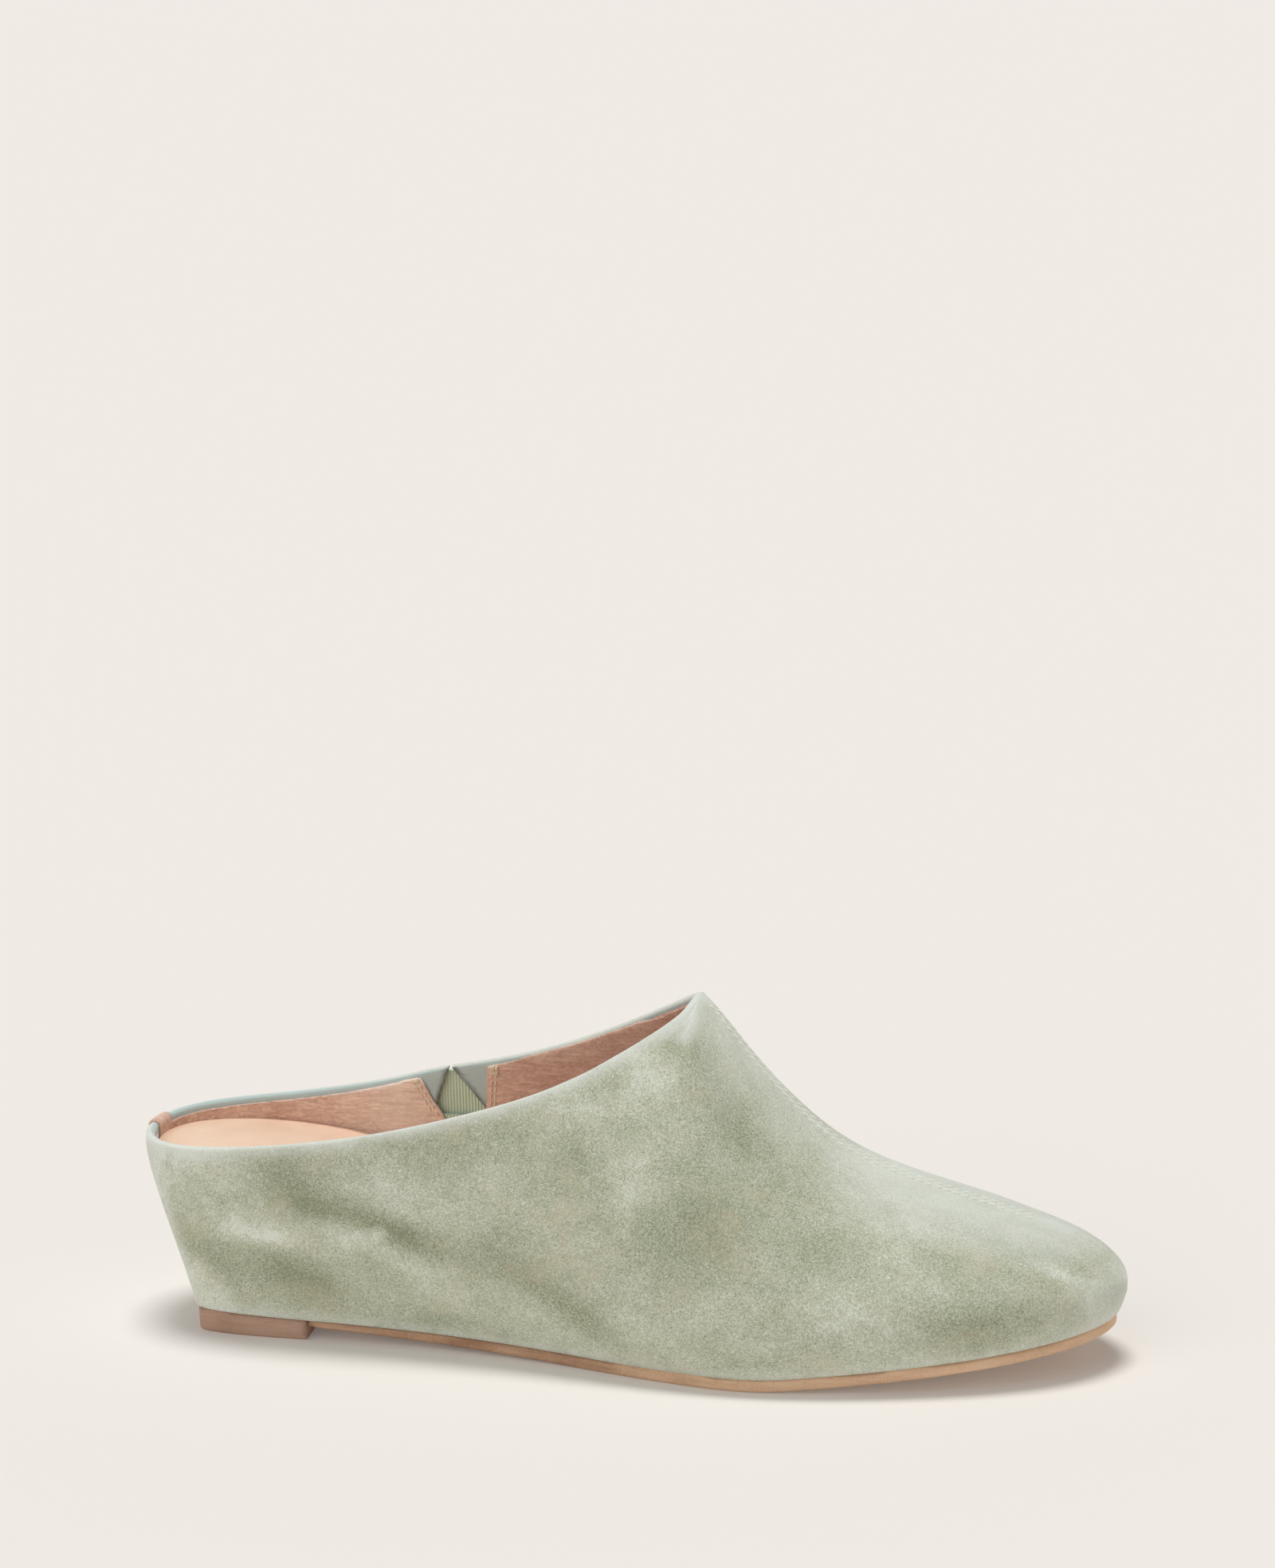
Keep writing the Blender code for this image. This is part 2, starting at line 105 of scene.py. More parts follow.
class Number:
    """A number that varies over a surface, written with Python's operators."""

    def __init__(self, graph: "Graph", socket: bpy.types.NodeSocket) -> None:
        """Keeps the graph and the socket that gives the number."""
        self.graph = graph
        self.socket = socket

    def math(self, operation: str, first: Any, second: Any = None) -> "Number":
        """Adds a Math node.

        Args:
            operation: The Math node's operation.
            first: First input, a number or a Number.
            second: Second input, or None.

        Returns:
            The node's result.
        """
        inputs = {0: first} if second is None else {0: first, 1: second}
        return self.graph.node("ShaderNodeMath", {"operation": operation}, inputs)

    __add__, __radd__ = operator("ADD"), operator("ADD", True)
    __sub__, __rsub__ = operator("SUBTRACT"), operator("SUBTRACT", True)
    __mul__, __rmul__ = operator("MULTIPLY"), operator("MULTIPLY", True)

    def sine(self) -> "Number":
        """Sine of the number."""
        return self.math("SINE", self)

    def absolute(self) -> "Number":
        """Number without its sign."""
        return self.math("ABSOLUTE", self)

    def between(self, low: float, high: float) -> "Number":
        """Smooth step.

        Args:
            low: Where the result is 0.
            high: Where the result is 1.

        Returns:
            A number from 0 to 1.
        """
        inputs = {"Value": self, "From Min": low, "From Max": high, "To Min": 0.0, "To Max": 1.0}
        return self.graph.node("ShaderNodeMapRange", {"interpolation_type": "SMOOTHSTEP"}, inputs)


class Graph:
    """Node tree of one material."""

    def __init__(self, name: str) -> None:
        """Starts an empty material with a shader and an output."""
        self.material = bpy.data.materials.new(name)
        self.material.use_nodes = True
        self.tree = self.material.node_tree
        self.shader = self.tree.nodes["Principled BSDF"]
        coordinates = self.tree.nodes.new("ShaderNodeTexCoord")
        self.place = coordinates.outputs["Object"]

    def node(self, kind: str, settings: dict[str, Any], inputs: dict[Any, Any], output: Any = 0) -> Number:
        """Adds one node.

        Args:
            kind: The node's type.
            settings: Properties that are set first.
            inputs: Values or links of its sockets, by name or number.
            output: Name or number of the socket that is given back.

        Returns:
            The chosen output.
        """
        made = self.tree.nodes.new(kind)
        for key, value in settings.items():
            if key == "stops":
                ramp = made.color_ramp
                while len(ramp.elements) < len(value):
                    ramp.elements.new(1.0)
                for element, (position, colour) in zip(ramp.elements, value):
                    element.position = position
                    element.color = (*colour, 1.0)
            else:
                setattr(made, key, value)
        for key, value in inputs.items():
            self.feed(made.inputs[key], value)
        return Number(self, made.outputs[output])

    def feed(self, socket: bpy.types.NodeSocket, value: Any) -> None:
        """Links or sets one socket.

        Args:
            socket: The socket to feed.
            value: A Number, an output socket, a number or a colour.
        """
        if isinstance(value, Number):
            self.tree.links.new(value.socket, socket)
        elif isinstance(value, bpy.types.NodeSocket):
            self.tree.links.new(value, socket)
        elif isinstance(value, tuple) and len(value) == 3 and len(socket.default_value) == 4:
            socket.default_value = (*value, 1.0)
        else:
            socket.default_value = value

    def attribute(self, name: str) -> Number:
        """Number painted on the mesh under that name."""
        return self.node("ShaderNodeAttribute", {"attribute_name": name}, {}, "Fac")

    def stretched(self, scale: Point, turn: Point = (0.0, 0.0, 0.0)) -> Number:
        """Object coordinates turned and then scaled.

        Args:
            scale: Scale along each axis.
            turn: Turn about each axis, in radians.

        Returns:
            The coordinates.
        """
        inputs = {"Vector": self.place, "Rotation": turn, "Scale": scale}
        return self.node("ShaderNodeMapping", {"vector_type": "POINT"}, inputs)

    def cloud(
        self, size: float, detail: float = 3.0, rough: float = 0.55, place: Any = None, warp: float = 0.0
    ) -> Number:
        """Cloudy noise around 0.5.

        Args:
            size: Size of its features, in metres.
            detail: Octaves of finer detail.
            rough: Strength of the finer octaves.
            place: Coordinates, or None for the object's own.
            warp: How far the noise bends itself.

        Returns:
            The noise.
        """
        inputs = {"Vector": place or self.place, "Scale": 1 / size, "Detail": detail, "Roughness": rough}
        inputs["Distortion"] = warp
        return self.node("ShaderNodeTexNoise", {"noise_dimensions": "3D"}, inputs, "Fac")

    def pebbles(self, size: float, place: Any = None) -> Number:
        """Distance to the middle of rounded cells.

        Args:
            size: Size of a cell, in metres.
            place: Coordinates, or None for the object's own.

        Returns:
            0 in the middle of a cell, growing outward.
        """
        settings = {"feature": "SMOOTH_F1", "distance": "EUCLIDEAN"}
        inputs = {"Vector": place or self.place, "Scale": 1 / size, "Smoothness": 0.35}
        return self.node("ShaderNodeTexVoronoi", settings, inputs, "Distance")

    def axis(self, name: str) -> Number:
        """One axis of the object coordinates, X, Y or Z."""
        return self.node("ShaderNodeSeparateXYZ", {}, {0: self.place}, name)

    def blend(self, share: Any, low: Any, high: Any) -> Number:
        """Mix of two colours.

        Args:
            share: Share of the second colour.
            low: First colour.
            high: Second colour.

        Returns:
            The mixed colour.
        """
        settings = {"data_type": "RGBA", "clamp_factor": True}
        return self.node("ShaderNodeMix", settings, {0: share, 6: low, 7: high}, 2)

    def ramp(self, share: Number, finish: Any, end: float = 0.1) -> Number:
        """Colour along a ramp from a finish's dark over its middle to its light.

        Args:
            share: Place on the ramp, 0.5 for the middle.
            finish: The finish that has the three colours.
            end: Distance of the dark and light stops from the ramp's ends.

        Returns:
            The colour.
        """
        stops = ((end, finish.dark), (0.5, finish.middle), (1 - end, finish.light))
        return self.node("ShaderNodeValToRGB", {"stops": stops}, {0: share})

    def wave(self, along: Number, pitch: float) -> Number:
        """Sine wave from 0 to 1 that repeats with the pitch."""
        return (along * (2 * math.pi / pitch)).sine() * 0.5 + 0.5

    def relief(self, height: Number, depth: float, strength: float = 1.0) -> None:
        """Lets a height raise the surface.

        Args:
            height: Height from 0 to 1.
            depth: Height of 1, in metres.
            strength: Strength of the effect.
        """
        bump = self.node("ShaderNodeBump", {}, {"Strength": strength, "Distance": depth, "Height": height})
        self.feed(self.shader.inputs["Normal"], bump)

    def finish(self, colour: Any, roughness: Any, **fixed: Any) -> bpy.types.Material:
        """Feeds the shader.

        Args:
            colour: Base colour.
            roughness: Roughness.
            **fixed: Constant sockets, with underscores for spaces.

        Returns:
            The material.
        """
        self.feed(self.shader.inputs["Base Color"], colour)
        self.feed(self.shader.inputs["Roughness"], roughness)
        for name, value in fixed.items():
            self.feed(self.shader.inputs[name.replace("_", " ")], value)
        return self.material


# ---- finishes


@dataclass(frozen=True)
class Suede:
    """Napped suede with brushed patches, painted shade and painted highlights."""

    dark: Colour = srgb(137, 144, 116)
    middle: Colour = srgb(187, 191, 170)
    light: Colour = srgb(223, 228, 217)
    warm: Colour = srgb(204, 193, 168)
    # Pale colour of the painted highlights on the collar's top, the lasting edge, the top and the ends, and of the
    # paler band along the vamp seam.
    edge: Colour = srgb(224, 229, 222)
    reverse: Colour = srgb(190, 211, 212)
    # Colour of the painted shadow lines along the slanted edges of the gore's opening.
    painted_leg_shadow: Colour = srgb(92, 98, 88)
    seam_lean: float = 1.5 * MM
    seam_from: float = 30.04 * MM
    seam_length: float = 248.5 * MM

    def make(self) -> bpy.types.Material:
        """Builds the material."""
        g = Graph("sage_suede")
        big = g.cloud(0.034, 3.0, 0.55, warp=0.6) - 0.5
        streaky = g.cloud(0.013, 4.0, 0.6, g.stretched((0.6, 1.0, 1.25), (0.0, 0.5, 0.0)), 0.8) - 0.5
        mottle = g.cloud(0.0042, 4.0, 0.65) - 0.5
        nap = g.cloud(0.00075, 3.0, 0.6)
        speck = g.cloud(0.00036, 2.0, 0.7)
        # Painted tone: brushed nap, painted shade along the folds and painted highlights on ridges, toe and heel.
        tone = g.attribute("tone") * (0.85 + streaky * 1.4 + mottle * 0.9)
        grains = (nap - 0.5) * 0.6 + (speck - 0.5) * 1.3
        shade = 0.5 + tone * 0.42 + big * 0.36 + streaky * 0.36 + mottle * 0.30 + grains
        colour = g.ramp(shade, self, 0.12)
        fade = g.cloud(0.02, 3.0, 0.6, g.stretched((1.0, 1.0, 1.4), (0.3, 0.0, 0.6)), 0.5).between(0.52, 0.75)
        colour = g.blend(fade * 0.34, colour, self.warm)
        rim, foot, inside = (g.attribute(name) for name in ("rim", "foot", "inside"))
        # Painted highlight: the suede is paler towards the rolled top of the collar.
        colour = g.blend(rim * (0.62 + streaky * 0.6), colour, self.edge)
        # Painted highlight along the rounded lasting edge above the sole.
        colour = g.blend(foot * (0.42 + mottle * 0.8), colour, self.edge)
        # Painted light: surfaces that face up, and less so the toe and heel ends, are paler as if lit from above.
        colour = g.blend(g.attribute("crest") * (0.66 + streaky * 0.5 + grains * 0.25), colour, self.edge)
        colour = g.blend(g.attribute("seam") * (0.8 + mottle * 0.8), colour, self.edge)
        colour = g.blend(inside * (0.85 + mottle * 0.5), colour, self.reverse)
        colour = g.blend(g.attribute("spot") * 0.8, colour, self.dark)
        # Painted shadow along the slanted edges of the gore's opening, on the inside.
        colour = g.blend(g.attribute("legs") * 0.9, colour, self.painted_leg_shadow)
        height = nap * 0.5 + speck * 0.35 + mottle * 0.35 - self.groove(g)
        g.relief(height, 0.26 * MM, 0.85)
        return g.finish(colour, 0.93, Sheen_Weight=0.45, Sheen_Roughness=0.4, Specular_IOR_Level=0.2)

    def groove(self, g: Graph) -> Number:
        """Narrow valley where the two halves of the vamp meet.

        Args:
            g: The material's graph.

        Returns:
            1 in the bottom of the valley and 0 beside it.
        """
        along = (g.axis("X") + self.seam_from) * (math.pi / self.seam_length)
        away = (g.axis("Y") - along.sine() * self.seam_lean).absolute()
        return (1 - away.between(0.1 * MM, 0.55 * MM)) * g.attribute("vamp")


@dataclass(frozen=True)
class Lining:
    """Soft leather with pebbled grain and fine wrinkles."""

    name: str = "rose_lining"
    dark: Colour = srgb(206, 162, 141)
    middle: Colour = srgb(238, 206, 188)
    light: Colour = srgb(251, 228, 211)

    def make(self) -> bpy.types.Material:
        """Builds the material."""
        g = Graph(self.name)
        patch = g.cloud(0.012, 3.0, 0.6, warp=0.4)
        fine = g.cloud(0.0011, 3.0, 0.6)
        grain = g.pebbles(0.0010, g.stretched((0.8, 1.0, 1.25), (0.0, 0.35, 0.0)))
        wrinkle = g.cloud(0.0032, 4.0, 0.6, g.stretched((0.45, 1.0, 1.7), (0.0, 0.30, 0.0)), 1.4)
        crease = 1 - (wrinkle - 0.5).absolute().between(0.0, 0.09)
        # Painted shade: darker along the wrinkle creases.
        shade = 0.42 + (patch - 0.5) * 0.5 + (fine - 0.5) * 0.35 - grain * 0.14 - crease * 0.11
        shade = shade + g.attribute("flap") * 0.5
        colour = g.ramp(shade, self)
        height = (1 - grain) * 0.55 + wrinkle * 0.5 - crease * 0.5 + fine * 0.15
        g.relief(height, 0.26 * MM, 0.8)
        return g.finish(colour, 0.56 + crease * 0.12, Specular_IOR_Level=0.38)


@dataclass(frozen=True)
class Footbed:
    """Smooth peach leather of the footbed."""

    dark: Colour = srgb(222, 180, 148)
    middle: Colour = srgb(243, 210, 183)
    light: Colour = srgb(251, 228, 207)

    def make(self) -> bpy.types.Material:
        """Builds the material."""
        g = Graph("peach_footbed")
        patch = g.cloud(0.022, 3.0, 0.5, warp=0.4)
        fine = g.cloud(0.0007, 3.0, 0.6)
        pores = g.pebbles(0.0006)
        dent = g.cloud(0.006, 3.0, 0.55)
        shade = 0.5 + (patch - 0.5) * 0.5 + (fine - 0.5) * 0.22 + (dent - 0.5) * 0.22
        # Painted shade: darker towards the footbed's edges, where it meets the lining.
        shade = shade - g.attribute("rim") * 0.25
        colour = g.ramp(shade, self)
        height = (1 - pores) * 0.25 + fine * 0.15 + dent * 0.6
        g.relief(height, 0.2 * MM, 0.6)
        return g.finish(colour, 0.46 + (fine - 0.5) * 0.2, Specular_IOR_Level=0.4)


@dataclass(frozen=True)
class Elastic:
    """Ribbed elastic cloth with upright ribs."""

    # Colours of the painted shade in the rib valleys and the painted highlight on the rib ridges.
    valley: Colour = srgb(186, 212, 184)
    ridge: Colour = srgb(232, 252, 232)
    pitch: float = 0.80 * MM

    def make(self) -> bpy.types.Material:
        """Builds the material."""
        g = Graph("sage_elastic")
        fine = g.cloud(0.0004, 2.0, 0.6)
        patch = g.cloud(0.008, 3.0, 0.5)
        rib = g.wave(g.axis("X"), self.pitch)
        knit = g.wave(g.axis("Z"), 0.8 * self.pitch)
        # Painted light and shade of the ribs: ridges lighter, valleys darker.
        shade = rib * (0.72 + knit * 0.28) + (fine - 0.5) * 0.5 + (patch - 0.5) * 0.3
        colour = g.blend(shade, self.valley, self.ridge)
        g.relief(rib * (0.8 + knit * 0.2) + fine * 0.2, 0.22 * MM, 0.9)
        return g.finish(colour, 0.88, Sheen_Weight=0.15, Sheen_Roughness=0.5, Specular_IOR_Level=0.25)


@dataclass(frozen=True)
class SoleLeather:
    """Matt sole leather or rubber with a trimmed, dusty edge and painted shade towards the heel."""

    name: str
    dark: Colour
    middle: Colour
    light: Colour
    # Strength of the painted shade from the arch back to the heel.
    painted_waist_shade: float = 0.0

    def make(self) -> bpy.types.Material:
        """Builds the material."""
        g = Graph(self.name)
        patch = g.cloud(0.018, 3.0, 0.55)
        layers = g.cloud(0.0012, 3.0, 0.6, g.stretched((0.12, 0.12, 1.0)))
        fine = g.cloud(0.0005, 3.0, 0.65)
        scuff = g.cloud(0.004, 4.0, 0.7, g.stretched((0.35, 1.0, 1.0)), 1.0).between(0.6, 0.8)
        shade = 0.5 + (patch - 0.5) * 0.5 + (layers - 0.5) * 0.35 + (fine - 0.5) * 0.4 + scuff * 0.16
        # Painted shade: the sole is darker from the arch back to the heel.
        shade = shade - (1 - g.axis("X").between(0.075, 0.125)) * self.painted_waist_shade
        colour = g.ramp(shade, self)
        g.relief(fine * 0.6 + layers * 0.5, 0.16 * MM, 0.7)
        return g.finish(colour, 0.72 + (fine - 0.5) * 0.2, Specular_IOR_Level=0.35)


@dataclass(frozen=True)
class Thread:
    """Twisted sewing thread."""

    name: str
    # Colours of the painted shade between the plies and the painted highlight on them.
    dark: Colour
    light: Colour
    twist: float = 0.42 * MM

    def make(self) -> bpy.types.Material:
        """Builds the material."""
        g = Graph(self.name)
        twist = g.wave(g.axis("X") + g.axis("Z") + g.axis("Y") * 0.6, self.twist)
        fine = g.cloud(0.0003, 2.0, 0.6)
        # Painted highlight on the twist's plies and painted shade between them.
        colour = g.blend(0.25 + twist * 0.5 + (fine - 0.5) * 0.5, self.dark, self.light)
        g.relief(twist, 0.05 * MM, 0.6)
        return g.finish(colour, 0.6, Sheen_Weight=0.2, Specular_IOR_Level=0.4)


@dataclass(frozen=True)
class Cork:
    """Pressed granules of the wedge's core."""

    def make(self) -> bpy.types.Material:
        """Builds the material."""
        g = Graph("cork_core")
        grains = g.pebbles(0.0024)
        fine = g.cloud(0.0008, 3.0, 0.6)
        colour = g.blend(grains * 1.1 + (fine - 0.5) * 0.4, srgb(196, 160, 118), srgb(120, 86, 56))
        g.relief(1 - grains, 0.3 * MM, 0.8)
        return g.finish(colour, 0.85)


@dataclass(frozen=True)
class Paper:
    """Seamless pale studio floor."""

    colour: Colour = srgb(237, 233, 228)
    glow: float = 0.12

    def make(self) -> bpy.types.Material:
        """Builds the material."""
        g = Graph("studio_paper")
        fine = g.cloud(0.0015, 2.0, 0.5)
        lit = tuple(level * (1 - self.glow) for level in self.colour)
        colour = g.blend(fine, tuple(level * 0.99 for level in lit), tuple(level * 1.01 for level in lit))
        return g.finish(colour, 0.95, Specular_IOR_Level=0.0, Emission_Color=self.colour, Emission_Strength=self.glow)


# ---- workbench


class Bench:
    """Steps that every piece goes through."""

    @staticmethod
    def only(piece: Piece) -> None:
        """Selects one piece and makes it active."""
        bpy.ops.object.select_all(action="DESELECT")
        piece.select_set(True)
        bpy.context.view_layer.objects.active = piece

    @staticmethod
    def copy(source: Piece, name: str) -> Piece:
        """Copy of a piece or node, with its own merged mesh.

        Args:
            source: What is copied.
            name: Name of the copy.

        Returns:
            The copy, at the origin.
        """
        mesh = source.data.copy()
        mesh.name = name
        piece = bpy.data.objects.new(name, mesh)
        bpy.context.scene.collection.objects.link(piece)
        Bench.only(piece)
        mesh.materials.clear()
        if mesh.has_custom_normals:
            bpy.ops.mesh.customdata_custom_splitnormals_clear()
        Bench.enter("VERT")
        bpy.ops.mesh.remove_doubles(threshold=0.01 * MM)
        Bench.leave()
        return piece

    @staticmethod
    def pick(piece: Piece, test: FaceTest) -> int:
        """Selects the faces that pass a test, and leaves the piece in edit mode with face selection.

        Args:
            piece: The piece.
            test: Says yes or no from a face's centre and normal.

        Returns:
            How many faces are selected.
        """
        Bench.only(piece)
        Bench.enter(action="DESELECT")
        Bench.leave()
        count = 0
        for face in piece.data.polygons:
            face.select = test(face.center, face.normal)
            count += face.select
        bpy.ops.object.mode_set(mode="EDIT")
        return count

    @staticmethod
    def enter(kind: str = "FACE", action: str = "SELECT") -> None:
        """Goes to edit mode, with the kind of selection and with all or nothing selected."""
        bpy.ops.object.mode_set(mode="EDIT")
        bpy.ops.mesh.select_mode(type=kind)
        bpy.ops.mesh.select_all(action=action)

    @staticmethod
    def leave() -> None:
        """Goes back to object mode."""
        bpy.ops.object.mode_set(mode="OBJECT")

    @staticmethod
    def smooth(piece: Piece) -> Piece:
        """Shades a piece smooth and gives it back."""
        Bench.only(piece)
        bpy.ops.object.shade_smooth()
        return piece

    @staticmethod
    def cut_away(piece: Piece, test: FaceTest) -> None:
        """Deletes the faces that pass a test."""
        if Bench.pick(piece, test):
            bpy.ops.mesh.delete(type="FACE")
        Bench.leave()

    @staticmethod
    def apply(piece: Piece, kind: str, **settings: Any) -> None:
        """Adds a modifier and applies it.

        Args:
            piece: The piece.
            kind: The modifier's type.
            **settings: The modifier's settings.
        """
        Bench.only(piece)
        modifier = piece.modifiers.new(kind.lower(), kind)
        for key, value in settings.items():
            setattr(modifier, key, value)
        bpy.ops.object.modifier_apply(modifier=modifier.name)

    @staticmethod
    def smooth_out(piece: Piece, levels: int, crease: float, sharp: float = 40.0) -> None:
        """Turns a faceted solid into a finely curved one.

        Args:
            piece: The piece.
            levels: Subdivision levels.
            crease: How sharp its marked edges stay, from 0 to 1.
            sharp: Angle in degrees from which an edge is marked.
        """
        Bench.only(piece)
        Bench.enter("EDGE", "DESELECT")
        bpy.ops.mesh.edges_select_sharp(sharpness=math.radians(sharp))
        bpy.ops.transform.edge_crease(value=crease)
        bpy.ops.mesh.mark_sharp()
        bpy.ops.mesh.select_all(action="SELECT")
        bpy.ops.mesh.tris_convert_to_quads(**QUADS, sharp=True, seam=True)
        bpy.ops.mesh.select_all(action="SELECT")
        bpy.ops.mesh.mark_sharp(clear=True)
        Bench.leave()
        Bench.subdivide(piece, levels, boundary_smooth="PRESERVE_CORNERS")
        Bench.smooth(piece)

    @staticmethod
    def subdivide(piece: Piece, levels: int = 1, **settings: Any) -> None:
        """Subdivides a piece smoothly."""
        Bench.apply(piece, "SUBSURF", levels=levels, render_levels=levels, **settings)

    @staticmethod
    def points(piece: Piece) -> np.ndarray:
        """Vertices as an array of rows."""
        flat = np.empty(len(piece.data.vertices) * 3)
        piece.data.vertices.foreach_get("co", flat)
        return flat.reshape(-1, 3)

    @staticmethod
    def normals(piece: Piece) -> np.ndarray:
        """Vertex normals as an array of rows."""
        return np.array([v.vector for v in piece.data.vertex_normals])

    @staticmethod
    def paint(piece: Piece, name: str, values: np.ndarray) -> None:
        """Keeps one number for each vertex under a name.

        Args:
            piece: The piece.
            name: The attribute's name.
            values: One number for each vertex.
        """
        layer = piece.data.attributes.new(name, "FLOAT", "POINT")
        layer.data.foreach_set("value", np.asarray(values, dtype=np.float32))

    @staticmethod
    def push(piece: Piece, name: str, weights: np.ndarray, depth: float, way: str = "NORMAL") -> None:
        """Moves the surface where the weights say.

        Args:
            piece: The piece.
            name: Name of the vertex group.
            weights: Weight of each vertex, from 0 to 1.
            depth: How far a weight of 1 moves, in metres.
            way: Along the normals, or along an axis.
        """
        group = piece.vertex_groups.new(name=name)
        for index in np.nonzero(weights > 0.01)[0]:
            group.add([int(index)], float(weights[index]), "REPLACE")
        Bench.apply(piece, "DISPLACE", strength=depth, mid_level=0.0, vertex_group=name, direction=way)
        piece.vertex_groups.remove(piece.vertex_groups[name])

    @staticmethod
    def dress(piece: Piece, material: bpy.types.Material, slot: str) -> None:
        """Gives a piece its finish and its body.

        Args:
            piece: The piece.
            material: Its material.
            slot: The record's material slot; not used.
        """
        piece.data.materials.clear()
        piece.data.materials.append(material)
        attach(piece, "root")
        LOG.info("%s: %d faces", piece.name, len(piece.data.polygons))


def distances(points: np.ndarray, seeds: Sequence[Any]) -> np.ndarray:
    """Distance from each point to the nearest seed.

    Args:
        points: Rows of points.
        seeds: Seed points.

    Returns:
        One distance for each point.
    """
    tree = KDTree(len(seeds))
    for index, seed in enumerate(seeds):
        tree.insert(seed, index)
    tree.balance()
    return np.array([tree.find(p)[2] for p in points])


def nearness(points: np.ndarray, seeds: np.ndarray, reach: float) -> np.ndarray:
    """How near each point is to a set of seeds.

    Args:
        points: Rows of points.
        seeds: Rows of seed points.
        reach: Distance at which the result comes to 0.

    Returns:
        1 at a seed, falling smoothly to 0 at the reach.
    """
    share = np.clip(1 - distances(points, seeds) / reach, 0, 1)
    return share * share * (3 - 2 * share)


def surface_of(piece: Piece) -> BVHTree:
    """Search tree of a piece's surface."""
    mesh = piece.data
    return BVHTree.FromPolygons([v.co.copy() for v in mesh.vertices], [tuple(p.vertices) for p in mesh.polygons])


def flat_place(place: Place) -> Vector:
    """Point at X and Z that are given in mm."""
    return Vector((place[0], 0, place[1])) * MM


class Form:
    """Places on the CAD nodes, found with rays."""

    def __init__(self, node: str) -> None:
        """Builds the search tree of one node."""
        self.tree = surface_of(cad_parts[node])

    def from_side(self, x: float, z: float, side: Side) -> Optional[Vector]:
        """Point of the outside at x and z.

        Args:
            x: Place along the shoe.
            z: Height.
            side: Side that is looked at.

        Returns:
            The point, or None beside the node.
        """
        start = Vector((x, side.value * 0.1, z))
        return self.tree.ray_cast(start, Vector((0, -side.value, 0)))[0]

    def from_above(self, x: float, y: float) -> Optional[Vector]:
        """Highest point at x and y, or None beside the node."""
        return self.tree.ray_cast(Vector((x, y, 0.2)), Vector((0, 0, -1)))[0]


# ---- sub-assemblies


@dataclass(frozen=True)
class Patch:
    """Patch of painted tone (brushed nap, painted shade along folds, painted highlights on ridges): middle, long and
    short reach in mm, turn in degrees, and tone.
    """

    middle: Point
    long: float
    short: float
    turn: float
    tone: float


@dataclass(frozen=True)
class Fold:
    """Soft trough or ridge of the upper: places along the side in mm, width in mm and height in mm."""

    line: tuple[Place, ...]
    width: float
    height: float


# The dark patches along the folds are painted shade; the light ones along the ridges, on the toe and on the heel are
# painted highlights; the others are tone of the brushed nap.
PATCHES = (
    Patch((-15.6, -22.7, 45.9), 14, 10, 0, 0.80),
    Patch((14.0, -28.5, 42.8), 12, 7, -50, -0.55),
    Patch((22.0, -29.2, 35.9), 13, 4, -15, -0.60),
    Patch((36.5, -30.6, 34.3), 12, 4, -20, -0.65),
    Patch((44.0, -31.0, 29.6), 8, 4, -20, -0.60),
    Patch((9.5, -24.9, 20.0), 14, 7, -20, -0.65),
    Patch((20.0, -24.4, 14.3), 10, 6, -25, -0.50),
    Patch((-8.9, -21.0, 20.7), 11, 4, -40, -0.60),
    Patch((56.5, -33.0, 27.5), 17, 5, -15, -0.45),
    Patch((78.0, -36.8, 22.4), 15, 5, -35, -0.55),
    Patch((50.9, -26.3, 8.7), 8, 5, 0, -0.50),
    Patch((90.0, -39.0, 15.3), 9, 5, -40, -0.50),
    Patch((115.0, -34.6, 45.9), 22, 15, 60, -0.34),
    Patch((115.8, -38.7, 33.7), 16, 10, 0, -0.30),
    Patch((124.0, -21.5, 60.9), 14, 5, -75, -0.45),
    Patch((111.0, -17.0, 76.9), 11, 7, -60, -0.45),
    Patch((92.0, -23.6, 69.4), 8, 4, 30, -0.45),
    Patch((62.0, -27.5, 56.9), 15, 7, 10, -0.40),
    Patch((145.7, -34.8, 33.1), 15, 9, -20, -0.45),
    Patch((176.8, -28.9, 30.0), 9, 6, 0, -0.45),
    Patch((196.0, -17.0, 29.2), 15, 5, -10, -0.35),
    Patch((183.0, -33.8, 17.5), 18, 6, 5, -0.30),
    Patch((36.0, -28.0, 19.4), 9, 5, -20, -0.30),
    Patch((-1.8, -25.2, 30.3), 15, 4, -10, 0.50),
    Patch((7.6, -26.5, 28.9), 13, 4, -5, 0.45),
    Patch((26.6, -29.4, 31.4), 10, 3, -10, 0.60),
    Patch((36.4, -30.4, 31.8), 1.8, 1.6, 0, 1.10),
    Patch((43.6, -30.8, 26.5), 9, 4, -20, 0.50),
    Patch((41.0, -30.3, 41.2), 10, 6, -10, 0.50),
    Patch((-11.4, -15.9, 10.0), 10, 8, -50, 0.95),
    Patch((86.2, -25.3, 65.9), 10, 6, 20, 0.50),
    Patch((102.4, -21.0, 73.8), 10, 7, 0, 0.65),
    Patch((101.0, -33.3, 48.9), 15, 6, 75, 0.50),
    Patch((157.8, -29.8, 34.4), 15, 7, -5, 0.15),
    Patch((202.4, -18.7, 26.4), 11, 2.6, -8, 0.60),
    Patch((209.7, -17.4, 20.3), 8, 3.6, -35, 0.65),
    Patch((154.3, -40.2, 21.9), 13, 7, 0, 0.45),
    Patch((173.0, -32.4, 27.1), 9, 5, 0, 0.30),
    Patch((28.0, -28.5, 27.5), 7, 0.7, 90, 0.45),
    Patch((-21.5, -15.0, 40.8), 12, 8, 90, 0.40),
)

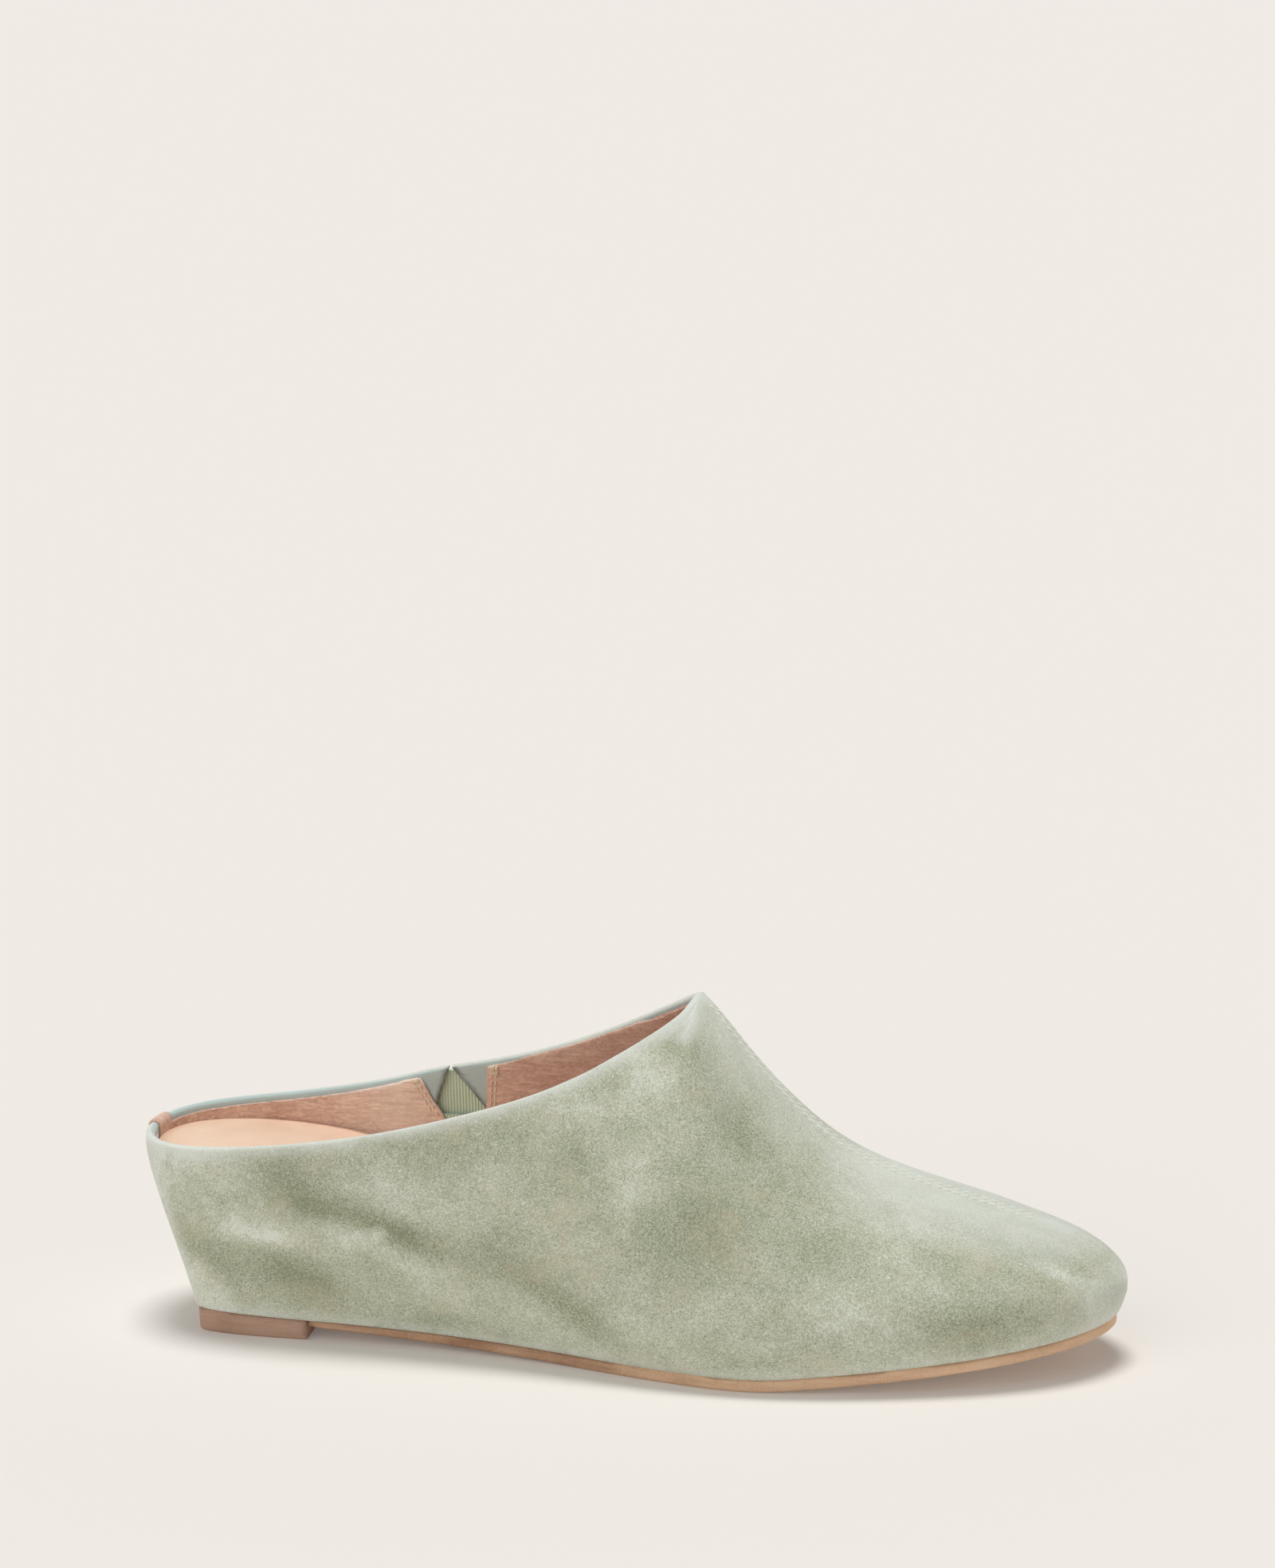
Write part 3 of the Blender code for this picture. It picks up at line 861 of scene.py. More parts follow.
FOLDS = (
    Fold(((9.0, 44.4), (13.0, 38.8), (21.0, 35.5), (34.0, 33.9), (43.0, 30.1)), 3.4, -0.40),
    Fold(((16.0, 31.6), (27.0, 31.0), (36.0, 29.4), (44.0, 26.1)), 3.8, 0.28),
    Fold(((52.0, 28.6), (70.0, 26.0), (78.0, 23.5), (84.0, 18.9), (91.0, 15.3)), 4.8, -0.36),
    Fold(((55.0, 36.2), (72.0, 34.7), (86.0, 29.1)), 6.0, 0.30),
    Fold(((-11.0, 23.5), (-5.0, 17.3), (1.0, 14.8), (12.0, 15.8)), 4.0, -0.36),
    Fold(((12.0, 22.4), (18.0, 17.9), (24.0, 12.2)), 4.5, -0.32),
    Fold(((122.0, 66.9), (125.0, 58.9), (127.0, 49.9)), 4.6, -0.50),
    Fold(((89.0, 70.9), (95.0, 67.9)), 3.6, -0.30),
    Fold(((150.0, 32.1), (165.0, 30.6), (178.0, 29.1)), 5.5, -0.35),
    Fold(((196.0, 27.5), (208.0, 22.9)), 3.4, 0.10),
)

# Soft folds of the inner side, made up in the manner of the outer side's
INNER_FOLDS = (
    Fold(((12.0, 36.7), (26.0, 33.7), (40.0, 34.7)), 4.0, -0.45),
    Fold(((48.0, 27.5), (62.0, 24.5), (76.0, 25.0)), 5.0, -0.45),
    Fold(((-8.0, 20.4), (4.0, 16.3), (16.0, 15.3)), 4.4, -0.45),
    Fold(((124.0, 62.9), (127.0, 54.9), (129.0, 46.9)), 4.8, -0.45),
    Fold(((148.0, 31.6), (163.0, 29.1), (175.0, 27.5)), 5.5, -0.35),
)


@dataclass
class Upper:
    """Suede upper with its folds, turned edge, painted tones and painted light and shade."""

    throat_at: float = 111.46 * MM
    # Reach of the painted highlights along the collar's top and the lasting edge.
    rim_reach: float = 4.2 * MM
    foot_highlight_reach: float = 5.0 * MM
    seam_reach: float = 3.2 * MM
    seam_end: float = 196.0 * MM
    # Slanted edges of the gore's opening in mm, where painted shadow lines lie, and their reach.
    legs: tuple[tuple[Place, Place], ...] = (((42.81, 60.5), (38.46, 46.66)), ((43.71, 60.5), (54.06, 46.66)))
    leg_shadow_reach: float = 1.1 * MM
    # Where the collar's top and the lasting edge are found, for their painted highlights.
    lip_above: float = 44 * MM
    lip_slope: float = 0.72
    foot_below: float = 18 * MM
    # Painted light on surfaces that face up and at the toe and heel ends: start and span of each ramp, and the ends'
    # share.
    top_light_from: float = 0.76
    top_light_span: float = 0.22
    end_light_from: float = 0.5
    end_light_span: float = 0.45
    end_light_share: float = 0.75
    inner_half: float = 15 * MM
    seam_fade: float = 6 * MM
    spots: tuple[Point, ...] = ((-3.0, -21.7, 15.3), (-22.1, -15.3, 32.5), (-21.4, -15.0, 30.0))
    spot_reach: float = 1.2 * MM
    elastic_from: float = 36 * MM
    elastic_to: float = 56 * MM
    elastic_below: float = 47.8 * MM
    levels: int = 2
    folds: tuple[Fold, ...] = FOLDS
    inner_folds: tuple[Fold, ...] = INNER_FOLDS
    patches: tuple[Patch, ...] = PATCHES
    form: Form = field(default_factory=lambda: Form("upper"))

    def crown_y(self, x: float) -> float:
        """Sideways place of the crown line at x."""
        return Suede.seam_lean * math.sin(math.pi * (x + Suede.seam_from) / Suede.seam_length)

    def build(self) -> Piece:
        """Makes the upper from its CAD solid.

        Returns:
            The smoothed, folded and painted piece.
        """
        piece = Bench.copy(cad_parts["upper"], "suede_upper")
        self.mark_crown(piece)
        Bench.smooth_out(piece, self.levels, 0.55, 44.0)
        self.fold(piece)
        self.paint(piece)
        return piece

    def mark_crown(self, piece: Piece) -> None:
        """Marks the crown line, so that no face crosses it.

        Args:
            piece: The merged copy of the solid.
        """
        mesh = piece.data
        for edge in mesh.edges:
            ends = [mesh.vertices[i].co for i in edge.vertices]
            on_line = all(abs(p.y - self.crown_y(p.x)) < 0.08 * MM for p in ends)
            edge.use_seam = on_line and ends[0].x > self.throat_at - 3 * MM and abs(ends[0].x - ends[1].x) > 0.2 * MM

    def fold(self, piece: Piece) -> None:
        """Presses the folds into both sides.

        Args:
            piece: The smoothed piece.
        """
        points = Bench.points(piece)
        for side, folds in ((Side.OUTER, self.folds), (Side.INNER, self.inner_folds)):
            for sign, name in ((-1, "troughs"), (1, "ridges")):
                chosen = [f for f in folds if f.height * sign > 0]
                if not chosen:
                    continue
                deepest = max(abs(f.height) for f in chosen)
                weights = np.zeros(len(points))
                for one in chosen:
                    away = distances(points, self.trace(one.line, side)) / (one.width * MM)
                    ends = np.exp(-away ** 2) * abs(one.height) / deepest
                    weights = np.maximum(weights, ends)
                weights[points[:, 1] * side.value < 0] = 0
                Bench.push(piece, name, weights, sign * deepest * MM)

    def trace(self, line: Sequence[Place], side: Side) -> list[Vector]:
        """Points on the outside along a line that is given from the side.

        Args:
            line: Places along the shoe and heights, in mm.
            side: Side of the foot.

        Returns:
            Points a millimetre apart.
        """
        traced = []
        for (x0, z0), (x1, z1) in zip(line, line[1:]):
            steps = max(2, int(math.hypot(x1 - x0, z1 - z0)))
            for i in range(steps + 1):
                t = i / steps
                hit = self.form.from_side((x0 + (x1 - x0) * t) * MM, (z0 + (z1 - z0) * t) * MM, side)
                if hit:
                    traced.append(hit)
        return traced

    def paint(self, piece: Piece) -> None:
        """Paints tone with its painted shade and highlights, painted highlights on the edges and on surfaces that face
        up, painted shadow lines, and inside on the mesh.

        Args:
            piece: The folded piece.
        """
        points, normals = Bench.points(piece), Bench.normals(piece)
        inner = self.is_inner(points, normals)
        x, y, z = points.T
        # Painted highlight masks: lip is the collar's rolled top, underside is the lasting edge above the sole.
        lip = (normals[:, 2] > self.lip_slope) & (x < self.throat_at + 0.3 * MM) & (z > self.lip_above)
        underside = (normals[:, 2] < -0.9) & (z < self.foot_below)
        Bench.paint(piece, "rim", nearness(points, points[lip], self.rim_reach))
        Bench.paint(piece, "foot", nearness(points, points[underside], self.foot_highlight_reach))
        Bench.paint(piece, "inside", inner)
        # Painted light: paler where the normal faces up, and at the toe and heel ends; none on the inside.
        up = np.clip((normals[:, 2] - self.top_light_from) / self.top_light_span, 0, 1)
        end = np.clip((np.abs(normals[:, 0]) - self.end_light_from) / self.end_light_span, 0, 1)
        Bench.paint(piece, "crest", np.maximum(up, self.end_light_share * end) * (1 - inner))
        # Tone patches: nap tone with painted shade and painted highlights.
        tone = np.zeros(len(points))
        for patch in self.patches:
            turn = math.radians(patch.turn)
            along = np.array([math.cos(turn), 0.0, math.sin(turn)])
            offset = points / MM - np.array(patch.middle)
            reach = offset @ along
            across = np.sqrt(np.maximum((offset ** 2).sum(axis=1) - reach ** 2, 0))
            tone += patch.tone * np.exp(-(reach / patch.long) ** 2 - (across / patch.short) ** 2)
        Bench.paint(piece, "tone", np.clip(tone, -1.2, 1.2))
        crown = np.array([self.crown_y(place) for place in x])
        ahead = np.clip((x - self.throat_at + 1 * MM) / (2 * MM), 0, 1)
        before = np.clip((self.seam_end + self.seam_fade - x) / (2 * self.seam_fade), 0, 1)
        vamp = ahead * before * (1 - inner)
        near = np.clip(1 - np.abs(y - crown) / self.seam_reach, 0, 1)
        Bench.paint(piece, "vamp", vamp)
        Bench.paint(piece, "seam", near * vamp)
        Bench.paint(piece, "spot", nearness(points, np.array(self.spots) * MM, self.spot_reach))
        # Painted shadow lines along the gore's opening, on the inside only.
        Bench.paint(piece, "legs", self.by_legs(points) * inner)

    def by_legs(self, points: np.ndarray) -> np.ndarray:
        """How near each point is to the two slanted edges of the gore's opening, where the painted shadow lines lie.

        Args:
            points: Rows of points.

        Returns:
            1 on an edge, falling to 0 beside it.
        """
        away = np.full(len(points), 1.0)
        flat = points[:, (0, 2)]
        for first, last in self.legs:
            start, way = np.array(first) * MM, (np.array(last) - np.array(first)) * MM
            share = np.clip((flat - start) @ way / (way @ way), 0, 1)
            away = np.minimum(away, np.linalg.norm(flat - start - share[:, None] * way, axis=1))
        return np.clip(1 - away / self.leg_shadow_reach, 0, 1) * (points[:, 1] > self.inner_half)

    @staticmethod
    def is_inner(points: np.ndarray, normals: np.ndarray) -> np.ndarray:
        """Says which points face the foot.

        Args:
            points: Rows of points.
            normals: Rows of normals.

        Returns:
            1 on the inner wall and 0 elsewhere.
        """
        x = points[:, 0]
        height = np.interp(x, (-0.03, 0.09, 0.16, 0.22), (0.047, 0.03, 0.02, 0.016))
        shift = np.interp(x, (-0.03, 0.02, 0.19, 0.22), (0.02, 0.0, 0.0, -0.02))
        toward = np.stack((x + shift, 0.03 * x, height), axis=1) - points
        toward /= np.linalg.norm(toward, axis=1)[:, None] + 1e-9
        return ((toward * normals).sum(axis=1) > 0.05).astype(float)

    def dress(self, piece: Piece, suede: bpy.types.Material, elastic: bpy.types.Material) -> None:
        """Puts the suede on the piece, and the elastic where it shows under the gore's window."""
        Bench.dress(piece, suede, "upper")
        piece.data.materials.append(elastic)
        for face in piece.data.polygons:
            x, y, z = face.center
            at_gore = self.elastic_from < x < self.elastic_to and y > self.inner_half and z < self.elastic_below
            if at_gore and face.normal.y < -0.3:
                face.material_index = 1
        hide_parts("upper")


@dataclass
class LiningPart:
    """Leather lining of the inner wall, open at the gore."""

    stand_off: float = 0.12 * MM
    thickness: float = 0.55 * MM
    tuck: float = 5.0 * MM
    below_rim: float = 0.8 * MM
    back_flap: tuple[Place, Place] = ((34.7, 57.6), (40.7, 47.1))
    front_flap: tuple[Place, Place] = ((53.3, 62.2), (52.2, 48.5))
    window: tuple[Place, ...] = (
        (42.81, 61.5), (42.81, 59.56), (38.46, 46.66), (54.06, 46.66), (43.71, 59.56), (43.71, 61.5)
    )
    near_line: float = 0.12 * MM
    gore_at: float = 47 * MM
    gore_half: float = 16 * MM
    gore_above: float = 40 * MM
    inner_half: float = 15 * MM
    corner_reach: float = 7.0 * MM
    flap_at: float = 30 * MM
    flap_reach: float = 16 * MM
    wrinkle_height: float = 0.28 * MM
    wrinkle_long: float = 9.0 * MM
    wrinkle_across: float = 2.6 * MM
    wrinkle_side: float = 30.0 * MM
    wrinkle_turn: Place = (0.94, 0.34)

    def build(self) -> Piece:
        """Makes the lining from the inner faces of the upper's solid.

        Returns:
            The lining as one closed shell.
        """
        piece = Bench.copy(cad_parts["upper"], "rose_lining")
        insole = Form("insole")

        def not_lining(centre: Vector, normal: Vector) -> bool:
            """Says which faces aren't lined."""
            inner = Upper.is_inner(np.array([centre]), np.array([normal]))[0] > 0
            beside = abs(centre.x - self.gore_at) > self.gore_half or centre.y < self.inner_half
            by_gore = not beside and centre.z > self.gore_above
            if not inner or normal.z > 0.30 or (by_gore and normal.y > -0.5):
                return True
            bed = insole.from_above(centre.x, 0.0)
            return bed is None or centre.z < bed.z - self.tuck

        Bench.cut_away(piece, not_lining)
        self.close_window(piece)
        self.lower_edge(piece, insole)
        self.open_gore(piece)
        Bench.only(piece)
        Bench.enter()
        bpy.ops.mesh.tris_convert_to_quads(**QUADS)
        Bench.leave()
        Bench.subdivide(piece, boundary_smooth="PRESERVE_CORNERS")
        Bench.apply(piece, "DISPLACE", strength=self.stand_off, mid_level=0.0, direction="NORMAL")
        Bench.apply(piece, "SOLIDIFY", thickness=self.thickness, offset=1.0)
        Bench.subdivide(piece)
        self.wrinkle(piece)
        return Bench.smooth(piece)

    def lower_edge(self, piece: Piece, insole: Form) -> None:
        """Lowers the upper edge, so that turned suede shows above it, but not at the flaps' corners.

        Args:
            piece: The open lining.
            insole: Places on the insole.
        """
        mesh = piece.data
        uses = Counter(key for face in mesh.polygons for key in face.edge_keys)
        weights = np.zeros(len(mesh.vertices))
        for key, count in uses.items():
            for index in key if count == 1 else ():
                x, y, z = mesh.vertices[index].co
                bed = insole.from_above(x, 0.0)
                if z > (bed.z if bed else 0.0) + 2 * MM:
                    away = min(abs(x - flap[0][0] * MM) for flap in (self.back_flap, self.front_flap))
                    weights[index] = 1.0 if y < 0 else 1 - math.exp(-(away / self.corner_reach) ** 2)
        Bench.push(piece, "upper_edge", weights, -self.below_rim, "Z")

    def close_window(self, piece: Piece) -> None:
        """Fills the window of the inner wall, which the flaps cover in part.

        Args:
            piece: The open lining.
        """
        mesh = piece.data
        outline = [flat_place(corner) for corner in self.window]

        def on_outline(point: Vector) -> bool:
            """Says whether a point lies on the window's edge."""
            flat = Vector((point.x, 0, point.z))
            for first, second in zip(outline, outline[1:]):
                way = second - first
                share = min(1.0, max(0.0, (flat - first).dot(way) / way.dot(way)))
                if (first + way * share - flat).length < self.near_line and point.y > 10 * MM:
                    return True
            return False

        Bench.pick(piece, lambda centre, normal: False)
        bpy.ops.mesh.select_mode(type="EDGE")
        bpy.ops.mesh.select_non_manifold(
            extend=False, use_wire=False, use_multi_face=False, use_non_contiguous=False, use_verts=False
        )
        Bench.leave()
        for edge in mesh.edges:
            edge.select = edge.select and all(on_outline(mesh.vertices[i].co) for i in edge.vertices)
        bpy.ops.object.mode_set(mode="EDIT")
        bpy.ops.mesh.edge_face_add()
        bpy.ops.mesh.quads_convert_to_tris()
        Bench.leave()

    def open_gore(self, piece: Piece) -> None:
        """Cuts the lining along both flap edges and takes out what lies between.

        Args:
            piece: The open lining.
        """
        planes = []
        for top, bottom in (self.back_flap, self.front_flap):
            down = flat_place(bottom) - flat_place(top)
            planes.append((flat_place(top), Vector((-down.z, 0, down.x)).normalized()))
        for place, across in planes:
            Bench.pick(piece, lambda centre, normal: centre.y > 5 * MM and abs((centre - place).dot(across)) < 12 * MM)
            bpy.ops.mesh.bisect(plane_co=place, plane_no=across)
            Bench.leave()
        (back, back_way), (front, front_way) = planes
        Bench.cut_away(
            piece,
            lambda centre, normal: centre.y > 5 * MM
            and (centre - back).dot(back_way) > 0
            and (centre - front).dot(front_way) < 0,
        )

    def wrinkle(self, piece: Piece) -> None:
        """Raises soft wrinkles that run down and forward, strongest by the flap.

        Args:
            piece: The closed lining.
        """
        points = Bench.points(piece)
        flap = np.exp(-((points[:, 0] - self.flap_at) / self.flap_reach) ** 2) * (points[:, 1] > 0)
        Bench.paint(piece, "flap", flap)
        weights = np.empty(len(points))
        ahead, up = self.wrinkle_turn
        for index, (x, y, z) in enumerate(points):
            along, over = (ahead * x - up * z) / self.wrinkle_long, (up * x + ahead * z) / self.wrinkle_across
            ridge = 1 - abs(noise.noise(Vector((along, y / self.wrinkle_side, over))))
            weights[index] = max(0.0, ridge) ** 3
        Bench.push(piece, "wrinkles", weights * (0.35 + 0.65 * flap), self.wrinkle_height)

    def dress(self, piece: Piece, leather: bpy.types.Material) -> None:
        """Puts the leather on the lining."""
        Bench.dress(piece, leather, "insole")


@dataclass
class BackTab:
    """Small leather fold over the rim at the back."""

    from_y: float = -0.6 * MM
    to_y: float = 7.4 * MM
    behind: float = -19 * MM
    half: float = 14 * MM
    above: float = 42 * MM
    drop_inside: float = 5.0 * MM
    drop_outside: float = 1.0 * MM
    thickness: float = 0.55 * MM

    def build(self, upper: Piece) -> Piece:
        """Makes the fold from the rim of the smoothed upper.

        Args:
            upper: The suede upper.

        Returns:
            The fold as a closed shell.
        """
        piece = Bench.copy(upper, "back_tab")

        def elsewhere(centre: Vector, normal: Vector) -> bool:
            """Says which faces are away from the back of the rim."""
            return centre.x > self.behind or abs(centre.y) > self.half or centre.z < self.above

        Bench.cut_away(piece, elsewhere)
        for y, way in ((self.from_y, -1), (self.to_y, 1)):
            Bench.pick(piece, lambda centre, normal: True)
            bpy.ops.mesh.bisect(plane_co=(0, y, 0), plane_no=(0, way, 0), clear_outer=True)
            Bench.leave()
        top = max(v.co.z for v in piece.data.vertices)

        def outside(centre: Vector, normal: Vector) -> bool:
            """Says which faces lie below the fold."""
            return centre.z < top - (self.drop_inside if normal.x > 0 else self.drop_outside)

        Bench.cut_away(piece, outside)
        Bench.apply(piece, "SOLIDIFY", thickness=self.thickness, offset=1.0)
        Bench.subdivide(piece)
        return Bench.smooth(piece)

    def dress(self, piece: Piece, leather: bpy.types.Material) -> None:
        """Puts the lining's leather on the fold."""
        Bench.dress(piece, leather, "insole")


@dataclass
class Insole:
    """Padded footbed."""

    levels: int = 2
    # Reach of the painted shade along the footbed's edges.
    rim_reach: float = 4.0 * MM

    def build(self) -> Piece:
        """Makes the footbed from its CAD solid."""
        piece = Bench.copy(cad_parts["insole"], "padded_footbed")
        Bench.smooth_out(piece, self.levels, 0.35, 60.0)
        points, normals = Bench.points(piece), Bench.normals(piece)
        # Painted shade mask: near the footbed's upright edges.
        Bench.paint(piece, "rim", nearness(points, points[np.abs(normals[:, 2]) < 0.35], self.rim_reach))
        return piece

    def dress(self, piece: Piece, leather: bpy.types.Material) -> None:
        Bench.dress(piece, leather, "insole")
        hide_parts("insole")


@dataclass
class Sole:
    """Outsole and heel lift, glued to the upper."""

    levels: int = 2
    bond: float = 0.28 * MM

    def build(self, node: str, name: str) -> Piece:
        """Makes one sole piece from its CAD solid.

        Args:
            node: The CAD node.
            name: Name of the piece.

        Returns:
            The smoothed piece.
        """
        piece = Bench.copy(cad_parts[node], name)
        Bench.pick(piece, lambda centre, normal: normal.z > 0.9)
        bpy.ops.transform.translate(value=(0, 0, self.bond))
        Bench.leave()
        Bench.smooth_out(piece, self.levels, 0.9, 25.0)
        return piece

    def dress(self, piece: Piece, material: bpy.types.Material, node: str) -> None:
        """Puts the finish on and hides the CAD solid."""
        Bench.dress(piece, material, node)
        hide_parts(node)


@dataclass
class Stitching:
    """Rows of thread, each stitch a copy of one modelled stitch."""

    length: float = 1.75 * MM
    pitch: float = 2.35 * MM
    thread: float = 0.52 * MM
    sides: int = 7

    def model(self) -> Piece:
        """Makes one stitch along X, with its ends dipped into the leather.

        Returns:
            The stitch, resting on the XY plane.
        """
        bpy.ops.object.select_all(action="DESELECT")
        along_x = (0, math.pi / 2, 0)
        bpy.ops.mesh.primitive_cylinder_add(
            vertices=self.sides, radius=self.thread / 2, depth=self.length, rotation=along_x
        )
        piece = bpy.context.object
        bpy.ops.object.transform_apply(location=True, rotation=True, scale=True)
        for share in (-0.3, 0.0, 0.3):
            Bench.pick(piece, lambda centre, normal: True)
            bpy.ops.mesh.bisect(plane_co=(share * self.length, 0, 0), plane_no=(1, 0, 0))
            Bench.leave()
        for end in (-1, 1):
            Bench.pick(piece, lambda centre, normal: normal.x * end > 0.9)
            bpy.ops.transform.resize(value=(1, 0.55, 0.45))
            bpy.ops.transform.translate(value=(0, 0, -0.32 * self.thread))
            Bench.leave()
        return piece

    def lay(self, name: str, places: Sequence[Matrix]) -> Piece:
        """Copies the stitch to each place and joins the copies.

        Args:
            name: Name of the joined piece.
            places: One matrix for each stitch.

        Returns:
            The joined stitches.
        """
        pattern = self.model()
        copies = []
        for place in places:
            mesh = pattern.data.copy()
            mesh.transform(place)
            one = bpy.data.objects.new(name, mesh)
            bpy.context.scene.collection.objects.link(one)
            copies.append(one)
        bpy.data.objects.remove(pattern)
        Bench.only(copies[0])
        for one in copies:
            one.select_set(True)
        bpy.ops.object.join()
        joined = bpy.context.object
        joined.name = joined.data.name = name
        bpy.ops.object.shade_smooth()
        return joined

    def along(
        self, line: Sequence[Vector], form: BVHTree, lift: float = 0.15 * MM, pitch: float = 0.0
    ) -> list[Matrix]:
        """Places of the stitches along a line on a surface.

        Args:
            line: Points of the line.
            form: The surface that the stitches lie on.
            lift: Height of the stitch's middle over the surface.
            pitch: Distance from stitch to stitch, or 0 for the usual one.

        Returns:
            One matrix for each stitch.
        """
        pitch = pitch or self.pitch
        places, walked, want = [], 0.0, pitch / 2
        for first, second in zip(line, line[1:]):
            step = (second - first).length
            while walked + step >= want:
                point = first.lerp(second, (want - walked) / step)
                spot, normal, _, _ = form.find_nearest(point)
                forward = (second - first).normalized()
                forward = (forward - normal * forward.dot(normal)).normalized()
                sideways = normal.cross(forward)
                turn = Matrix((forward, sideways, normal)).transposed().to_4x4()
                places.append(Matrix.Translation(spot + normal * lift) @ turn)
                want += pitch
            walked += step
        return places


@dataclass
class VampSeam:
    """Two rows of stitches along the seam over the instep."""

    offset: float = 1.55 * MM
    start: float = 113.6 * MM
    end: float = 195.0 * MM
    steps: int = 160

    def build(self, upper: Upper, skin: Piece) -> Piece:
        """Sews both rows.

        Args:
            upper: The upper's sizes.
            skin: The suede piece.

        Returns:
            The stitches.
        """
        stitching, tree = Stitching(), surface_of(skin)
        places = []
        for side in Side:
            line = []
            for i in range(self.steps + 1):
                x = self.start + (self.end - self.start) * i / self.steps
                above = Vector((x, upper.crown_y(x) + side.value * self.offset, 0.2))
                line.append(tree.ray_cast(above, Vector((0, 0, -1)))[0])
            places += stitching.along([hit for hit in line if hit], tree)
        return stitching.lay("vamp_stitches", places)


@dataclass
class GoreStitches:
    """Row of stitches round the gore's panel on the outside."""

    outline: tuple[Place, ...] = ((38.4, 57.5), (33.0, 42.3), (60.8, 42.3), (48.9, 58.5))

    def build(self, upper: Upper, skin: Piece) -> Piece:
        """Sews the row.

        Args:
            upper: The upper's sizes.
            skin: The suede piece.

        Returns:
            The stitches.
        """
        stitching, tree = Stitching(length=1.5 * MM, pitch=2.1 * MM, thread=0.42 * MM), surface_of(skin)
        places = []
        for leg in zip(self.outline, self.outline[1:]):
            places += stitching.along(upper.trace(leg, Side.INNER), tree, 0.1 * MM)
        return stitching.lay("gore_stitches", places)


@dataclass
class FlapStitches:
    """Double rows of stitches along the lining's two flaps, with a knot of thread at their tops."""

    edge: float = 1.3 * MM
    apart: float = 1.15 * MM
    drop: float = 12.5 * MM
    knot_rows: int = 5
    knot_apart: float = 0.42 * MM
    knot_drop: float = 4.2 * MM

    def build(self, lining: LiningPart, leather: Piece) -> Piece:
        """Sews the rows and the knots.

        Args:
            lining: The lining's sizes.
            leather: The lining piece.

        Returns:
            The stitches.
        """
        stitching = Stitching(length=1.45 * MM, pitch=1.95 * MM, thread=0.46 * MM)
        tree = surface_of(leather)
        places = []
        for (top, bottom), way in ((lining.back_flap, -1), (lining.front_flap, 1)):
            for row in range(2):
                away = way * (self.edge + self.apart * row)
                line = self.row(tree, top, bottom, away, 1.2 * MM, self.drop)
                places += stitching.along(line, tree, 0.08 * MM)
            for k in range(self.knot_rows):
                away = way * (self.edge + self.apart * 0.5 + (k - self.knot_rows // 2) * self.knot_apart)
                line = self.row(tree, top, bottom, away, (0.9 + 0.25 * (k % 2)) * MM, self.knot_drop)
                places += stitching.along(line, tree, 0.2 * MM, 1.5 * MM)
        return stitching.lay("flap_stitches", places)

    @staticmethod
    def row(tree: BVHTree, top: Place, bottom: Place, away: float, start: float, end: float) -> list[Vector]:
        """Line of a row on the lining, found from inside.

        Args:
            tree: The lining's surface.
            top: Upper end of the flap's edge, in mm.
            bottom: Lower end of the flap's edge, in mm.
            away: Distance of the row from the edge.
            start: Where the row starts, down from the top.
            end: Where the row ends.

        Returns:
            Points of the line.
        """
        first, last = flat_place(top), flat_place(bottom)
        down = (last - first).normalized()
        line = []
        for share in np.linspace(0, 1, 25):
            place = first + down * (start + (end - start) * share) + Vector((away, 0, 0))
            line.append(tree.ray_cast(Vector((place.x, 5 * MM, place.z)), Vector((0, 1, 0)))[0])
        return [hit for hit in line if hit]


